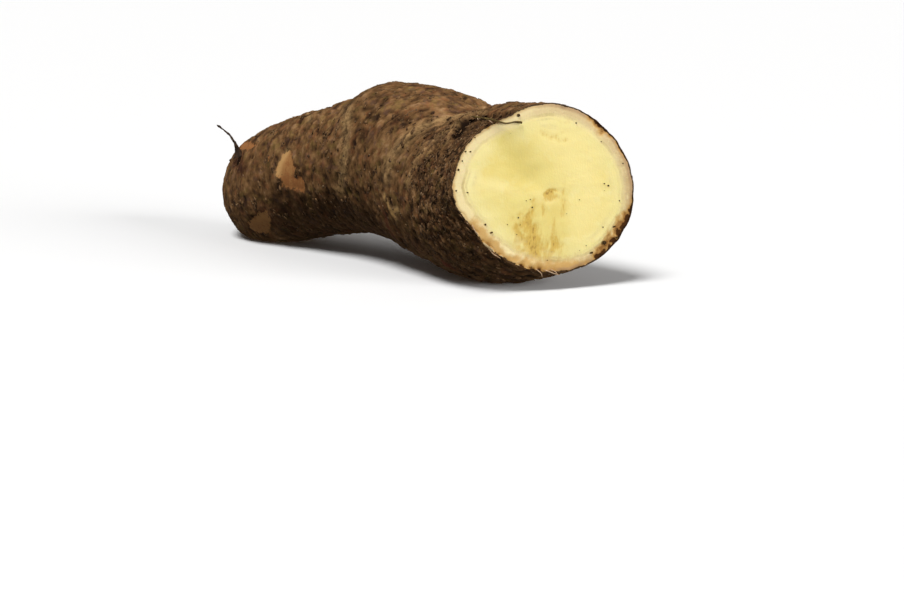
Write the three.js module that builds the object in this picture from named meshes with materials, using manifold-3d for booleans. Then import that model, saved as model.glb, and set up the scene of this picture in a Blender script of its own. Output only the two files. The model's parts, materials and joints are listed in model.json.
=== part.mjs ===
// A cassava root, sliced across at its thick end and lying on its side. It is one solid: the thin
// rootlet on its tail grows out of it and is joined to it.
//
// Millimetres, +Z up. The root lies along X, with its slice towards +X and its tail towards -X.
// It is drawn about a point under its middle, and the finished solid is then moved so that the origin
// is on the floor, under the middle of the root's box.
import * as THREE from "three";
import { mergeVertices } from "three/addons/utils/BufferGeometryUtils.js";
import Module from "manifold-3d";

// Driving dimensions.
const ROOT_SIDES = 56; // faces around the root
const ROOT_RINGS = 72; // rings from the tail's dome to the slice
const TAIL_DOME = 5; // how far the tail's tip takes to round off
const SLICE_X = 82; // where the knife crosses the root's middle line
const SLICE_YAW = -22.4; // how far the slice turns from +X, in degrees about +Z
const KNIFE_REACH = 200; // the side of the block that the knife takes away
const ROOTLET_SIDES = 8;
const ROOTLET_RINGS = 14;
const ROOTLET_DOME = 0.6;
const FLOOR = 0; // the root has grown flat where it meets the floor
const WELD = 1e-3; // points closer than this are one point

// The root's middle line and girth, from the tail to just past the slice. side and height place the
// middle of each section, wide and high are its half width and half height, and roll turns its oval
// from +Y towards +Z, in degrees.
const ROOT = [
  { x: -122, side: 9, height: 22, wide: 5, high: 5, roll: 0 },
  { x: -116, side: 7, height: 21, wide: 10, high: 11, roll: 0 },
  { x: -106, side: 3.5, height: 21.5, wide: 16, high: 18.5, roll: 0 },
  { x: -94, side: 0, height: 23, wide: 22, high: 24, roll: 0 },
  { x: -81, side: 0.5, height: 25, wide: 26.5, high: 26.5, roll: 0 },
  { x: -50, side: 5, height: 33.5, wide: 28.5, high: 28, roll: 0 },
  { x: -22, side: 8, height: 40, wide: 30, high: 31, roll: 0 },
  { x: 5, side: 9, height: 40, wide: 31.5, high: 33.5, roll: 0 },
  { x: 30, side: 8, height: 35.5, wide: 33, high: 34, roll: -14 },
  { x: 55, side: 5, height: 34, wide: 34.5, high: 35, roll: -24 },
  { x: 70, side: 2.5, height: 37, wide: 36, high: 34.5, roll: -28 },
  { x: 82, side: 0.5, height: 40, wide: 38, high: 32, roll: -30 },
  { x: 100, side: -3.5, height: 42, wide: 37.5, high: 31, roll: -30 },
];

// Swellings, and hollows where rise is below zero. x is the place on the middle line, facing is the
// direction around it from +Y towards +Z in degrees, and long and wide say how far each one spreads.
const SWELLINGS = [
  { x: -92, facing: 245, rise: 2.5, long: 9, wide: 30 }, // heel of the tail
  { x: -93, facing: 138, rise: -2, long: 7, wide: 30 }, // slope above the heel
  { x: -58, facing: 355, rise: -2.5, long: 14, wide: 40 }, // hollow on the back
  { x: -38, facing: 80, rise: -2, long: 8, wide: 50 }, // neck behind the bulge
  { x: -27, facing: 112, rise: -2.6, long: 4, wide: 30 }, // step up to the brow
  { x: -17, facing: 80, rise: 1.4, long: 8, wide: 40 }, // brow of the bulge
  { x: 14, facing: 5, rise: 3, long: 20, wide: 40 }, // bulge on the back
  { x: 5, facing: 95, rise: -0.5, long: 10, wide: 30 }, // flat top of the bulge
  { x: 36, facing: 82, rise: -3.6, long: 8.5, wide: 32 }, // slope behind the slice
  { x: 82, facing: 0, rise: 1.2, long: 12, wide: 30 }, // far edge of the slice
  { x: 80, facing: 122, rise: -4.3, long: 14, wide: 22 }, // flat shoulder of the slice
  { x: 80, facing: 177, rise: 1.2, long: 10, wide: 9 }, // near corner of the slice
  { x: 80, facing: 202, rise: -2.2, long: 10, wide: 10 }, // dent under the near corner
  { x: 75, facing: 232, rise: -5, long: 11, wide: 26 }, // flat cheek below the slice's shoulder
  { x: 80, facing: 268, rise: -1.1, long: 10, wide: 16 }, // flat underside of the slice
];

// The rootlet, from its tip to the end that is buried in the root.
const ROOTLET = [
  { x: -96.2, side: -25.2, height: 52, wide: 0.35, high: 0.35, roll: 0 },
  { x: -93.1, side: -23.5, height: 50, wide: 0.6, high: 0.6, roll: 0 },
  { x: -90.4, side: -22.1, height: 47.6, wide: 0.5, high: 0.5, roll: 0 },
  { x: -88.8, side: -21.5, height: 45.2, wide: 0.6, high: 0.6, roll: 0 },
  { x: -87.6, side: -20.6, height: 42.2, wide: 1.2, high: 1.2, roll: 0 },
  { x: -86, side: -18, height: 38, wide: 3, high: 3, roll: 0 },
];

// How much the swellings add to the radius at a place on the middle line, in one direction.
function swellingAt(swellings, x, degrees) {
  let rise = 0;
  for (const swelling of swellings) {
    const turn = THREE.MathUtils.euclideanModulo(degrees - swelling.facing + 180, 360) - 180;
    const along = (x - swelling.x) / swelling.long;
    const around = turn / swelling.wide;
    rise += swelling.rise * Math.exp(-0.5 * (along * along + around * around));
  }
  return rise;
}

// The outline that is turned into a skin: radius 1, with a dome at its start. Its height is the share
// of the middle line.
function skinProfile(rings, domeShare, domeRings) {
  const profile = [new THREE.Vector2(0, 0)];
  for (let i = 1; i <= domeRings; i++) {
    const turn = (i / domeRings) * (Math.PI / 2);
    profile.push(new THREE.Vector2(Math.sin(turn), domeShare * (1 - Math.cos(turn))));
  }
  for (let i = 1; i <= rings; i++) {
    profile.push(new THREE.Vector2(1, THREE.MathUtils.lerp(domeShare, 1, i / rings)));
  }
  profile.push(new THREE.Vector2(0, 1));
  return profile;
}

// A closed skin around a middle line: a lathe's surface, bent along the line and swollen to its girth.
function skin(stations, sides, rings, dome, swellings) {
  const places = stations.map((s) => new THREE.Vector3(s.x, s.side, s.height));
  const girths = stations.map((s) => new THREE.Vector3(s.wide, s.high, s.roll));
  const middle = new THREE.CatmullRomCurve3(places);
  const girth = new THREE.CatmullRomCurve3(girths);
  const profile = skinProfile(rings, dome / middle.getLength(), Math.ceil(sides / 6));
  const lathe = new THREE.LatheGeometry(profile, sides);
  const points = lathe.getAttribute("position");
  const up = new THREE.Vector3(0, 0, 1);
  const centre = new THREE.Vector2(0, 0);
  for (let i = 0; i < points.count; i++) {
    const share = Math.hypot(points.getX(i), points.getZ(i));
    const angle = Math.atan2(points.getX(i), points.getZ(i));
    const place = middle.getUtoTmapping(points.getY(i));
    const point = middle.getPoint(place);
    const ahead = middle.getTangent(place);
    const across = new THREE.Vector3().crossVectors(up, ahead).normalize();
    const above = new THREE.Vector3().crossVectors(ahead, across);
    const size = girth.getPoint(place);
    const section = new THREE.Vector2(size.x * Math.cos(angle), size.y * Math.sin(angle));
    section.rotateAround(centre, THREE.MathUtils.degToRad(size.z));
    const rise = swellingAt(swellings, point.x, THREE.MathUtils.radToDeg(section.angle()));
    section.setLength(share * (section.length() + rise));
    point.addScaledVector(across, section.x);
    point.addScaledVector(above, section.y);
    points.setXYZ(i, point.x, point.y, Math.max(point.z, FLOOR));
  }
  return lathe;
}

// The block of space beyond the slice, which the knife takes away.
function beyondSlice() {
  const block = new THREE.BoxGeometry(KNIFE_REACH, KNIFE_REACH, KNIFE_REACH);
  block.translate(KNIFE_REACH / 2, 0, 0);
  block.rotateZ(THREE.MathUtils.degToRad(SLICE_YAW));
  block.translate(SLICE_X, 0, 0);
  return block;
}

const wasm = await Module();
wasm.setup();

// A closed three.js geometry as a manifold-3d solid.
function solidFrom(geometry) {
  const bare = geometry.clone();
  bare.deleteAttribute("normal");
  bare.deleteAttribute("uv");
  const welded = mergeVertices(bare, WELD);
  const vertProperties = welded.getAttribute("position").array;
  const triVerts = new Uint32Array(welded.index.array);
  return new wasm.Manifold(new wasm.Mesh({ numProp: 3, vertProperties, triVerts }));
}

// A manifold-3d solid as a three.js geometry whose origin is under the middle of its box.
function geometryFrom(solid) {
  const made = solid.getMesh();
  const geometry = new THREE.BufferGeometry();
  geometry.setAttribute("position", new THREE.BufferAttribute(made.vertProperties, 3));
  geometry.setIndex(new THREE.BufferAttribute(made.triVerts, 1));
  geometry.computeBoundingBox();
  const middle = geometry.boundingBox.getCenter(new THREE.Vector3());
  geometry.translate(-middle.x, -middle.y, -geometry.boundingBox.min.z);
  geometry.computeVertexNormals();
  return geometry;
}

const grown = solidFrom(skin(ROOT, ROOT_SIDES, ROOT_RINGS, TAIL_DOME, SWELLINGS));
const rootlet = solidFrom(skin(ROOTLET, ROOTLET_SIDES, ROOTLET_RINGS, ROOTLET_DOME, []));
const root = grown.add(rootlet).subtract(solidFrom(beyondSlice()));

const bark = new THREE.MeshStandardMaterial({ color: 0x5f452e, roughness: 0.9, metalness: 0 });
const cassava = new THREE.Mesh(geometryFrom(root), bark);
cassava.name = "cassava_root";

const group = new THREE.Group();
group.add(cassava);

export default group;
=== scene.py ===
"""The look of one cassava root: its bark, its slice, its rootlet and the soil on it.

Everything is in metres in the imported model's own frame, with +Z up and the slice towards +X. Sizes in
the classes are in millimetres, because that is how a root is measured, and MM turns them into metres.
A place on the bark is in millimetres along the skin from the tail's pole and in degrees around it. A
place on the slice is in millimetres across and up from its middle.
"""

import itertools
import json
import logging
import math
from dataclasses import dataclass
from enum import Enum
from typing import Any

import bpy
import numpy as np
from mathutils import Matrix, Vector
from mathutils.bvhtree import BVHTree


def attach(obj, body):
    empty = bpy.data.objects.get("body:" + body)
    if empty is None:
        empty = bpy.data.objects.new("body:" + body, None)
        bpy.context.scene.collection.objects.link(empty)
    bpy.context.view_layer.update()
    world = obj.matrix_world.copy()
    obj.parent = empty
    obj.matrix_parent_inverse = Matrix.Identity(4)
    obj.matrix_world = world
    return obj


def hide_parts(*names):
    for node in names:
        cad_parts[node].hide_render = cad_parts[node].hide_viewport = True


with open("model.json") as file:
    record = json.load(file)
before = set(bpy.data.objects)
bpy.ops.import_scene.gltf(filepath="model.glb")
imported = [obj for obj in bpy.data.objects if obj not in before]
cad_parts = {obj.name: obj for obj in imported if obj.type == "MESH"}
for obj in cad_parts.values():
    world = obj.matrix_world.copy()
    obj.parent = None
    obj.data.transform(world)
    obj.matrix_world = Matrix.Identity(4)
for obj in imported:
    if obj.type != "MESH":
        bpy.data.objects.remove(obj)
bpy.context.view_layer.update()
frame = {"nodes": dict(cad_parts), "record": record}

MM = 0.001
NODE = "cassava_root"
BODY = "root"

log = logging.getLogger("cassava")

Array = np.ndarray
Colour = tuple[float, float, float]
Place = tuple[float, float]
Spot = tuple[float, float, float]


class Dressing(Enum):
    """The root's two materials, by their place on its mesh."""

    BARK = 0
    SLICE = 1


class Lay(Enum):
    """How one colour is laid over another."""

    OVER = "MIX"
    DARKEN = "MULTIPLY"


class Bed(Enum):
    """Where crumbs lie: where one of the skin's masks lets them, or at the points of their own mesh."""

    FLAKY = "flaky"
    SOILED = "soiled"
    POINTS = "points"


# Sums that several pieces share


def unit(vectors: Array) -> Array:
    """Vectors at length one."""
    return vectors / np.maximum(np.linalg.norm(vectors, axis=-1, keepdims=True), 1e-12)


def smooth_step(low: float, high: float, values: Array) -> Array:
    """A soft step from 0 at low to 1 at high."""
    share = np.clip((values - low) / (high - low), 0.0, 1.0)
    return share * share * (3.0 - 2.0 * share)


def bell(distance: Array, width: float) -> Array:
    """A bell curve of that width, 1 in its middle."""
    return np.exp(-0.5 * (distance / width) ** 2)


def turned(facing: Array, middle: float) -> Array:
    """How far round the root from a middle facing, from -180 to 180 degrees."""
    return (facing - middle + 180.0) % 360.0 - 180.0


def gap_to(points: Array, start: Array, end: Array) -> Array:
    """The distance from points to the straight line between two others.

    Args:
        points: The points.
        start: Where the line starts.
        end: Where it ends.

    Returns:
        The distance for each point.
    """
    run, away = end - start, points - start
    share = np.clip((away @ run) / (run @ run), 0.0, 1.0)
    return np.linalg.norm(away - share[..., None] * run, axis=-1)


def write_points(mesh: bpy.types.Mesh, name: str, values: Array) -> None:
    """Writes one number or one vector for each of a mesh's points."""
    kind, key = ("FLOAT_VECTOR", "vector") if values.ndim > 1 else ("FLOAT", "value")
    mesh.attributes.new(name, kind, "POINT").data.foreach_set(key, values.astype(np.float32).ravel())


def put_in(name: str, data: bpy.types.ID) -> bpy.types.Object:
    """Puts something in the scene.

    Args:
        name: Its name.
        data: Its mesh, light or camera.

    Returns:
        Its object.
    """
    made = bpy.data.objects.new(name, data)
    bpy.context.scene.collection.objects.link(made)
    return made


def blur(grid: Array, width: float) -> Array:
    """Softens a grid of rings by sides, which closes on itself around the root.

    Args:
        grid: One number for each ring and side.
        width: How far the softening spreads, in grid steps.

    Returns:
        The softened grid.
    """
    reach = int(math.ceil(3 * width))
    steps = np.arange(-reach, reach + 1)
    weights = np.exp(-0.5 * (steps / width) ** 2)
    weights /= weights.sum()
    around = sum(w * np.roll(grid, int(k), axis=1) for w, k in zip(weights, steps))
    padded = np.pad(around, ((reach, reach), (0, 0)), mode="edge")
    return sum(w * padded[k : k + len(grid)] for k, w in enumerate(weights))


def flowing(points: Array, count: int) -> Array:
    """A smooth line through points.

    Args:
        points: What it runs through.
        count: How many points it has.

    Returns:
        The line's own points.
    """
    steps = np.linspace(0.0, len(points) - 1.0, count)
    ends = np.concatenate([2 * points[:1] - points[1:2], points, 2 * points[-1:] - points[-2:-1]])
    first = np.minimum(steps.astype(int), len(points) - 2)
    t = (steps - first)[:, None]
    a, b, c, d = (ends[first + k] for k in range(4))
    curve = (2 * a - 5 * b + 4 * c - d) * t**2 + (3 * b - a - 3 * c + d) * t**3
    return 0.5 * (2 * b + (c - a) * t + curve)


class Grain:
    """Smooth noise on a lattice, the same on every run."""

    size = 256
    strength = 1.6
    layer_shift = 17.3
    crease_shift = 9.1
    crease_strength = 2.2

    def __init__(self, seed: int) -> None:
        """Draws the lattice.

        Args:
            seed: Which lattice.
        """
        draw = np.random.default_rng(seed)
        self.order = draw.permutation(self.size)
        self.slopes = unit(draw.normal(size=(self.size, 3)))

    def at(self, points: Array) -> Array:
        """The noise at each point.

        Args:
            points: Where, in lattice steps.

        Returns:
            The noise, from about -1 to 1.
        """
        cell = np.floor(points).astype(np.int64)
        part = points - cell
        ease = part**3 * (part * (part * 6.0 - 15.0) + 10.0)
        last = self.size - 1
        total = np.zeros(points.shape[:-1])
        for corner in itertools.product((0, 1), repeat=3):
            x, y, z = ((cell[..., k] + corner[k]) & last for k in range(3))
            pick = self.order[(self.order[(self.order[x] + y) & last] + z) & last]
            slope = ((part - np.array(corner)) * self.slopes[pick]).sum(-1)
            share = np.prod(np.where(np.array(corner) == 1, ease, 1.0 - ease), axis=-1)
            total += share * slope
        return total * self.strength

    def layers(self, points: Array, count: int, gain: float = 0.5) -> Array:
        """Noise with count finer layers on top, each twice as fine and gain times as strong."""
        total = sum(gain**k * self.at(points * 2.0**k + self.layer_shift * k) for k in range(count))
        return total / sum(gain**k for k in range(count))

    def creases(self, points: Array, count: int = 2) -> Array:
        """Sharp-bottomed creases between rounded welts.

        Args:
            points: Where, in lattice steps.
            count: How many layers, each twice as fine and half as strong.

        Returns:
            How high the bark stands, from 0 in a crease to about 1.
        """
        shares = [0.5**k for k in range(count)]
        shifted = (points * 2.0**k + self.crease_shift * k for k in range(count))
        total = sum(share * np.abs(self.at(places)) for share, places in zip(shares, shifted))
        return np.clip(self.crease_strength * total / sum(shares), 0.0, 1.0)


@dataclass(frozen=True)
class Relief:
    """One layer of relief, drawn from noise.

    Attributes:
        seed: Which noise.
        height: How high it stands, in millimetres, or 1 where it is a mask.
        forms: How long its forms are along each direction, in millimetres.
        count: How many layers of ever finer noise it has.
    """

    seed: int
    height: float
    forms: Spot
    count: int = 2

    def rounded(self, places: Array) -> Array:
        """Its height where its forms are rounded lumps."""
        return self.height * Grain(self.seed).layers(places / self.forms, self.count)

    def creased(self, places: Array, level: float) -> Array:
        """Its height where its forms are welts between creases, and 0 at a level of them."""
        return self.height * (Grain(self.seed).creases(places / self.forms, self.count) - level)


# The skin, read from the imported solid


@dataclass
class Skin:
    """The root's outside as rings of points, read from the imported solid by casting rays.

    Attributes:
        fan_rings: How many rings round off the tail.
        fan_reach: How far before the tail's end the middle line stops.
        section_rays: How many rays find the middle of a section.
        turn_share: How quickly the middle line's heading follows the root's bends.
        follow_step: The gap between the sections that the middle line runs through.
        edge_gap: How far behind the slice the first section lies.
        spike: How far out of the skin a point counts as the rootlet's.
        median_reach: How many rings and sides away the skin's usual distance is taken from.
        soften: How far the solid's facets are softened, in grid steps.
        rim_hold: How near the slice the skin's relief stays in the slice's own plane.
    """

    sides: int = 300
    step: float = 0.8
    fan_rings: int = 50
    fan_reach: float = 27.0
    section_rays: int = 48
    section_passes: int = 2
    turn_share: float = 0.08
    follow_step: float = 3.0
    line_passes: int = 6
    edge_gap: float = 0.15
    spike: float = 0.7
    median_reach: int = 4
    soften: float = 2.0
    rim_hold: float = 4.0

    def __post_init__(self) -> None:
        """Reads the solid and makes the rings."""
        solid = frame["nodes"][NODE]
        corners = [v.co.copy() for v in solid.data.vertices]
        self.corners = np.array(corners) / MM
        faces = [tuple(p.vertices) for p in solid.data.polygons]
        self.tree = BVHTree.FromPolygons([c / MM for c in corners], faces)
        mount = frame["record"]["mounts"][0]
        self.slice_centre = np.array(mount["pos_m"]) / MM
        self.slice_normal = unit(np.array(mount["axis"], float))
        self.angles = np.arange(self.sides) * 2.0 * math.pi / self.sides
        self._follow()
        self._cast()
        self._measure()

    def _reach(self, start: Array, heading: Array) -> float:
        """How far the solid's outside is from a point inside it, in millimetres."""
        found = self.tree.ray_cast(Vector(start), Vector(heading))
        return 0.0 if found[0] is None else float(found[3])

    @staticmethod
    def _across(heading: Array) -> tuple[Array, Array]:
        """The level direction and the rising direction that cross a heading."""
        level = unit(np.cross((0.0, 0.0, 1.0), heading))
        return level, np.cross(heading, level)

    def _middle(self, guess: Array, heading: Array) -> Array:
        """The middle of a section of the solid.

        Args:
            guess: A point inside the section.
            heading: The direction that the section is square to.

        Returns:
            The middle of the section's outline.
        """
        level, rising = self._across(heading)
        for _ in range(self.section_passes):
            hits = []
            for angle in np.arange(self.section_rays) * 2.0 * math.pi / self.section_rays:
                way = math.cos(angle) * level + math.sin(angle) * rising
                hits.append(guess + self._reach(guess, way) * way)
            ring = np.array(hits)
            length = np.linalg.norm(np.roll(ring, -1, axis=0) - ring, axis=1)
            middles = 0.5 * (np.roll(ring, -1, axis=0) + ring)
            guess = (middles * length[:, None]).sum(0) / length.sum()
        return guess

    def _follow(self) -> None:
        """Follows the root's middle line from the slice to where the tail rounds off."""
        heading = self.slice_normal.copy()
        centre = self._middle(self.slice_centre - self.edge_gap * heading, heading)
        centres, headings = [centre], [heading]
        while self._reach(centre, -heading) > self.fan_reach:
            ahead = self._middle(centre - self.follow_step * heading, heading)
            run = unit(centre - ahead)
            heading = unit((1.0 - self.turn_share) * heading + self.turn_share * run)
            centre = ahead
            centres.append(centre)
            headings.append(heading)
        line, ways = np.array(centres[::-1]), np.array(headings[::-1])
        soft = line.copy()
        for _ in range(self.line_passes):
            soft[1:-1] = 0.25 * soft[:-2] + 0.5 * soft[1:-1] + 0.25 * soft[2:]
        runs = np.r_[0.0, np.cumsum(np.linalg.norm(np.diff(soft, axis=0), axis=1))]
        places = np.linspace(0.0, runs[-1], int(runs[-1] / self.step))
        self.line = np.stack([np.interp(places, runs, soft[:, k]) for k in range(3)], -1)
        self.ways = unit(np.stack([np.interp(places, runs, ways[:, k]) for k in range(3)], -1))

    def _cast(self) -> None:
        """Casts the rays and makes the rings of points, from the tail's pole to the slice."""
        ring = np.stack([np.cos(self.angles), np.sin(self.angles)], -1)
        starts, headings = [], []
        level, rising = self._across(self.ways[0])
        for tilt in np.linspace(0.5 * math.pi, 0.0, self.fan_rings, endpoint=False)[1:]:
            out = math.cos(tilt) * (ring[:, :1] * level + ring[:, 1:] * rising)
            headings.append(out - math.sin(tilt) * self.ways[0])
            starts.append(self.line[0])
        for centre, way in zip(self.line, self.ways):
            level, rising = self._across(way)
            headings.append(ring[:, :1] * level + ring[:, 1:] * rising)
            starts.append(centre)
        far = np.array([[self._reach(s, h) for h in row] for s, row in zip(starts, headings)])
        far = self._without_rootlet(far)
        far = blur(far, self.soften)
        self.points = np.array(starts)[:, None] + far[..., None] * np.array(headings)
        gap = (self.slice_centre - self.points[-1]) @ self.slice_normal
        self.points[-1] += gap[:, None] * self.slice_normal
        pole = self._reach(self.line[0], -self.ways[0])
        self.pole = self.line[0] - pole * self.ways[0]

    def _without_rootlet(self, far: Array) -> Array:
        """Levels the spike that the rootlet makes in the distances.

        Args:
            far: How far the solid's outside is, for each ring and side.

        Returns:
            The distances with the skin's usual ones in place of the spike.
        """
        near = self.median_reach
        reach = range(-near, near + 1)
        padded = np.pad(far, ((near, near), (0, 0)), mode="edge")
        stack = [np.roll(padded[near + i : near + i + len(far)], j, axis=1) for i in reach for j in reach]
        usual = np.median(np.array(stack), axis=0)
        return np.where(far > usual + self.spike, usual, far)

    def _measure(self) -> None:
        """Works out each ring's place along the skin, its mean radius and the outward directions."""
        rings = self.points
        gaps = np.linalg.norm(np.diff(rings, axis=0), axis=2).mean(1)
        first = np.linalg.norm(rings[0] - self.pole, axis=1).mean()
        self.along = np.r_[first, first + np.cumsum(gaps)]
        middle = rings.mean(1)
        self.radius = np.linalg.norm(rings - middle[:, None], axis=2).mean(1)
        before = np.concatenate([np.broadcast_to(self.pole, rings[:1].shape), rings[:-1]])
        after = np.concatenate([rings[1:], rings[-1:]])
        around = np.roll(rings, -1, axis=1) - np.roll(rings, 1, axis=1)
        self.outward = unit(np.cross(around, after - before))
        self.to_rim = (self.slice_centre - rings) @ self.slice_normal
        hold = 1.0 - smooth_step(0.0, self.rim_hold, self.to_rim)
        lean = (self.outward @ self.slice_normal)[..., None] * self.slice_normal
        self.outward = unit(self.outward - hold[..., None] * lean)
        girth = self.radius[:, None]
        length = np.broadcast_to(self.along[:, None], self.to_rim.shape)
        self.unrolled = np.stack([length, girth * np.cos(self.angles), girth * np.sin(self.angles)], -1)


# What grows, peels and breaks on the bark


@dataclass(frozen=True)
class Peel:
    """A place where the outer bark has come off.

    Attributes:
        outline: Its edge.
        tone: Its colour, from 0 for a pale tan to 1 for a deep brown.
        depth: How far it lies below the bark.
    """

    outline: tuple[Place, ...]
    tone: float
    depth: float = 0.35


@dataclass(frozen=True)
class Welt:
    """A line on the bark, proud or sunk, and how pale, dark or red it is, from 0 to 1 or more."""

    path: tuple[Place, ...]
    rise: float
    width: float
    pale: float = 0.0
    dark: float = 0.0
    red: float = 0.0


@dataclass
class Bark:
    """The relief of the bark and the places where its colour changes.

    Attributes:
        peels: Where the outer bark has come off.
        welts: Its welts, creases and stained spots.
        hollow: The edge of the pit beside the slice.
        hollow_fades: The facings between which the pit runs out.
        undercut: How much deeper it goes under its outer edge.
        dark_stain_and_shade: The outline of the dark place under the neck.
        rough_starts: Between where on the skin the bark grows rough towards the slice.
        rough_facing: Which side is the roughest.
        tail_ends: Between where on the skin the calmer bark of the tail ends.
        grain_facing: The middle of the side on which the grain leans.
        grain_drift: How far the grain is pushed along the root there, by place along the skin.
        torn_facing: Where the bark is torn back from the slice the most.
        lumps: The broadest relief, and after it the finer ones.
        stain: What frays the edge of the dark place under the neck.
    """

    skin: Skin
    peels: tuple[Peel, ...] = (
        Peel((
            (83.4, 154), (85.7, 159), (87.0, 165), (88.8, 173), (89.8, 180), (87.0, 182), (83.0, 180),
            (79.8, 179), (76.9, 178), (76.2, 173), (77.2, 166), (80.0, 159),
        ), 0.25),
        Peel((
            (79.2, 178), (83.5, 177), (87.0, 180), (90.0, 184), (93.4, 183), (95.4, 187), (95.2, 192),
            (94.0, 196.5), (88.7, 192.5), (84.2, 190.5), (79.6, 188.5), (78.9, 183),
        ), 0.75),
        Peel((
            (46.4, 214), (50.6, 210), (54.8, 208.5), (58.5, 205), (62.4, 206), (63.4, 211), (62.2, 218),
            (58.6, 224), (54.6, 230), (48.6, 229), (44.2, 222),
        ), 0.0, 0.15),
        Peel((
            (34.4, 108), (36.5, 104), (53.0, 130), (58.7, 138), (55.4, 140), (51.4, 139), (39.6, 124),
        ), 0.95, 0.25),
        Peel((
            (70.0, 341), (71.5, 336), (75.5, 335), (79.0, 336.5), (81.0, 342), (84.0, 346), (80.5, 351),
            (76.0, 349), (73.0, 352), (70.8, 347),
        ), 0.5),
        Peel((
            (149.5, 24), (152.0, 20), (156.5, 20.5), (159.0, 17.5), (162.5, 20), (161.0, 26), (163.5, 30),
            (158.0, 31), (154.5, 35), (151.5, 31),
        ), 0.4),
    )
    welts: tuple[Welt, ...] = (
        Welt((
            (112.3, 131), (117.1, 140), (121.8, 152), (126.0, 168), (125.8, 183), (122.2, 199),
        ), -0.5, 2.2, pale=1.15),
        Welt((
            (187.3, 110), (180.7, 118), (174.2, 125), (167.9, 140), (163.2, 152), (160.9, 163),
            (160.6, 172),
        ), 0.9, 2.6, pale=1.0),
        Welt((
            (193.9, 117), (190.2, 128), (185.9, 138), (182.4, 148), (180.0, 159), (177.8, 170),
        ), 0.5, 2.2, pale=0.55),
        Welt(((82.5, 114), (88.7, 128)), 0.0, 0.9, pale=0.8),
        Welt(((154.7, 203), (153.2, 213), (152.5, 222)), -0.1, 1.2, red=0.6),
        Welt(((184.1, 227), (186.1, 229)), 0.0, 1.6, red=0.9),
        Welt(((40.5, 141), (47.6, 153), (51.0, 160)), -0.3, 2.6, red=0.25, dark=0.75),
        Welt(((159.0, 186.5), (159.4, 189.5), (160.4, 193.0)), 0.1, 0.8, pale=2.4),
        Welt(((160.4, 193.5), (162.0, 196.5), (163.8, 200.5)), 0.1, 0.9, pale=2.4),
        Welt(((163.6, 195.0), (167.0, 192.0)), 0.1, 0.9, pale=2.0),
        Welt(((79.2, 109), (85.3, 118), (87.1, 124)), 0.0, 0.9, pale=1.2),
        Welt(((77.4, 174), (78.8, 165), (82.2, 156)), 0.0, 1.3, pale=1.3),
        # A painted shadow between the two lobes of the peeled place.
        Welt(((92.6, 181.8), (90.4, 181.5), (87.6, 180.5)), -0.2, 0.7, dark=0.9),
        Welt(((57.5, 205), (63.5, 206), (65.0, 214)), 0.0, 2.6, pale=0.3, red=0.3),
        # The crest of the pit's outer edge: 0.85 mm proud, with a painted highlight along it.
        Welt((
            (197.6, 143), (195.2, 137), (194.2, 132), (192.0, 125), (191.2, 119), (192.0, 114),
            (193.6, 110), (197.0, 108),
        ), 0.85, 0.8, pale=0.8),
        Welt(((213.0, 121), (217.0, 123)), 0.0, 1.3, red=0.7),
        # A sunk crease drawn dark: painted shade in it.
        Welt(((132.4, 133), (132.4, 137)), -0.45, 1.1, dark=0.9),
        Welt(((150.8, 97), (157.2, 92), (162.1, 88), (166.1, 82), (168.6, 76), (170.0, 68)), -1.15, 4.5),
        Welt(((162.5, 86), (165.5, 79), (168.0, 71)), -1.1, 3.4),
        Welt(((148.5, 73), (157.0, 69.5)), -1.1, 3.6),
        Welt(((194.0, 97), (198.0, 97), (204.0, 97)), 1.15, 3.0),
        # Sunk creases drawn dark: painted shade in them.
        Welt(((154.8, 134), (160.2, 131)), -0.5, 0.9, dark=1.0),
        Welt(((130.0, 127), (134.5, 123)), -0.4, 0.9, dark=0.8),
        Welt(((126.0, 134), (131.0, 132)), -0.5, 1.2, dark=1.0),
        Welt(((131.0, 149), (133.0, 153)), -0.4, 1.1, dark=0.7),
    )
    hollow: tuple[Place, ...] = (
        (198.4, 145), (196.4, 139), (195.3, 133), (193.0, 126.5), (192.2, 121), (193.0, 116.5),
        (194.8, 112.5), (198.0, 110.5), (204.0, 112), (222.0, 114), (222.0, 152), (202.0, 152),
    )
    hollow_depth: float = 1.6
    hollow_fades: tuple[float, float] = (131.0, 150.0)
    undercut: float = 1.2
    dark_stain_and_shade: tuple[Place, ...] = (
        (76.5, 181.0), (84.0, 191.0), (94.0, 197.0), (107.0, 197.0), (118.0, 201.0), (126.0, 206.0),
        (143.0, 209.0), (150.0, 214.0), (148.0, 300.0), (62.0, 300.0), (60.0, 222.0), (68.0, 201.0),
        (72.0, 188.0),
    )
    rough_starts: tuple[float, float] = (172.0, 190.0)
    rough_facing: float = 172.0
    rough_spread: float = 40.0
    tail_ends: tuple[float, float] = (60.0, 95.0)
    tail_calm: float = 0.35
    grain_facing: float = 85.0
    grain_spread: float = 38.0
    grain_drift: tuple[Place, ...] = (
        (55.0, 0.0), (112.0, -19.0), (158.0, 34.0), (185.0, 20.0), (219.0, 0.0),
    )
    torn_facing: float = 222.0
    lumps: Relief = Relief(3, 0.55, (30.0, 30.0, 30.0))
    folds: Relief = Relief(5, 0.45, (8.0, 26.0, 26.0))
    wrinkles: Relief = Relief(7, 0.6, (4.8, 8.0, 8.0))
    fine_wrinkles: Relief = Relief(11, 0.34, (2.9, 4.2, 4.2))
    grit: Relief = Relief(13, 1.0, (2.1, 2.1, 2.1))
    nubs: Relief = Relief(43, 0.38, (3.4, 4.2, 4.2))
    crust: Relief = Relief(17, 1.1, (3.6, 3.2, 3.2), 3)
    pock_marks: Relief = Relief(19, 1.0, (3.4, 6.5, 6.5))
    stain: Relief = Relief(29, 2.0, (5.0, 5.0, 5.0), 3)

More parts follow.
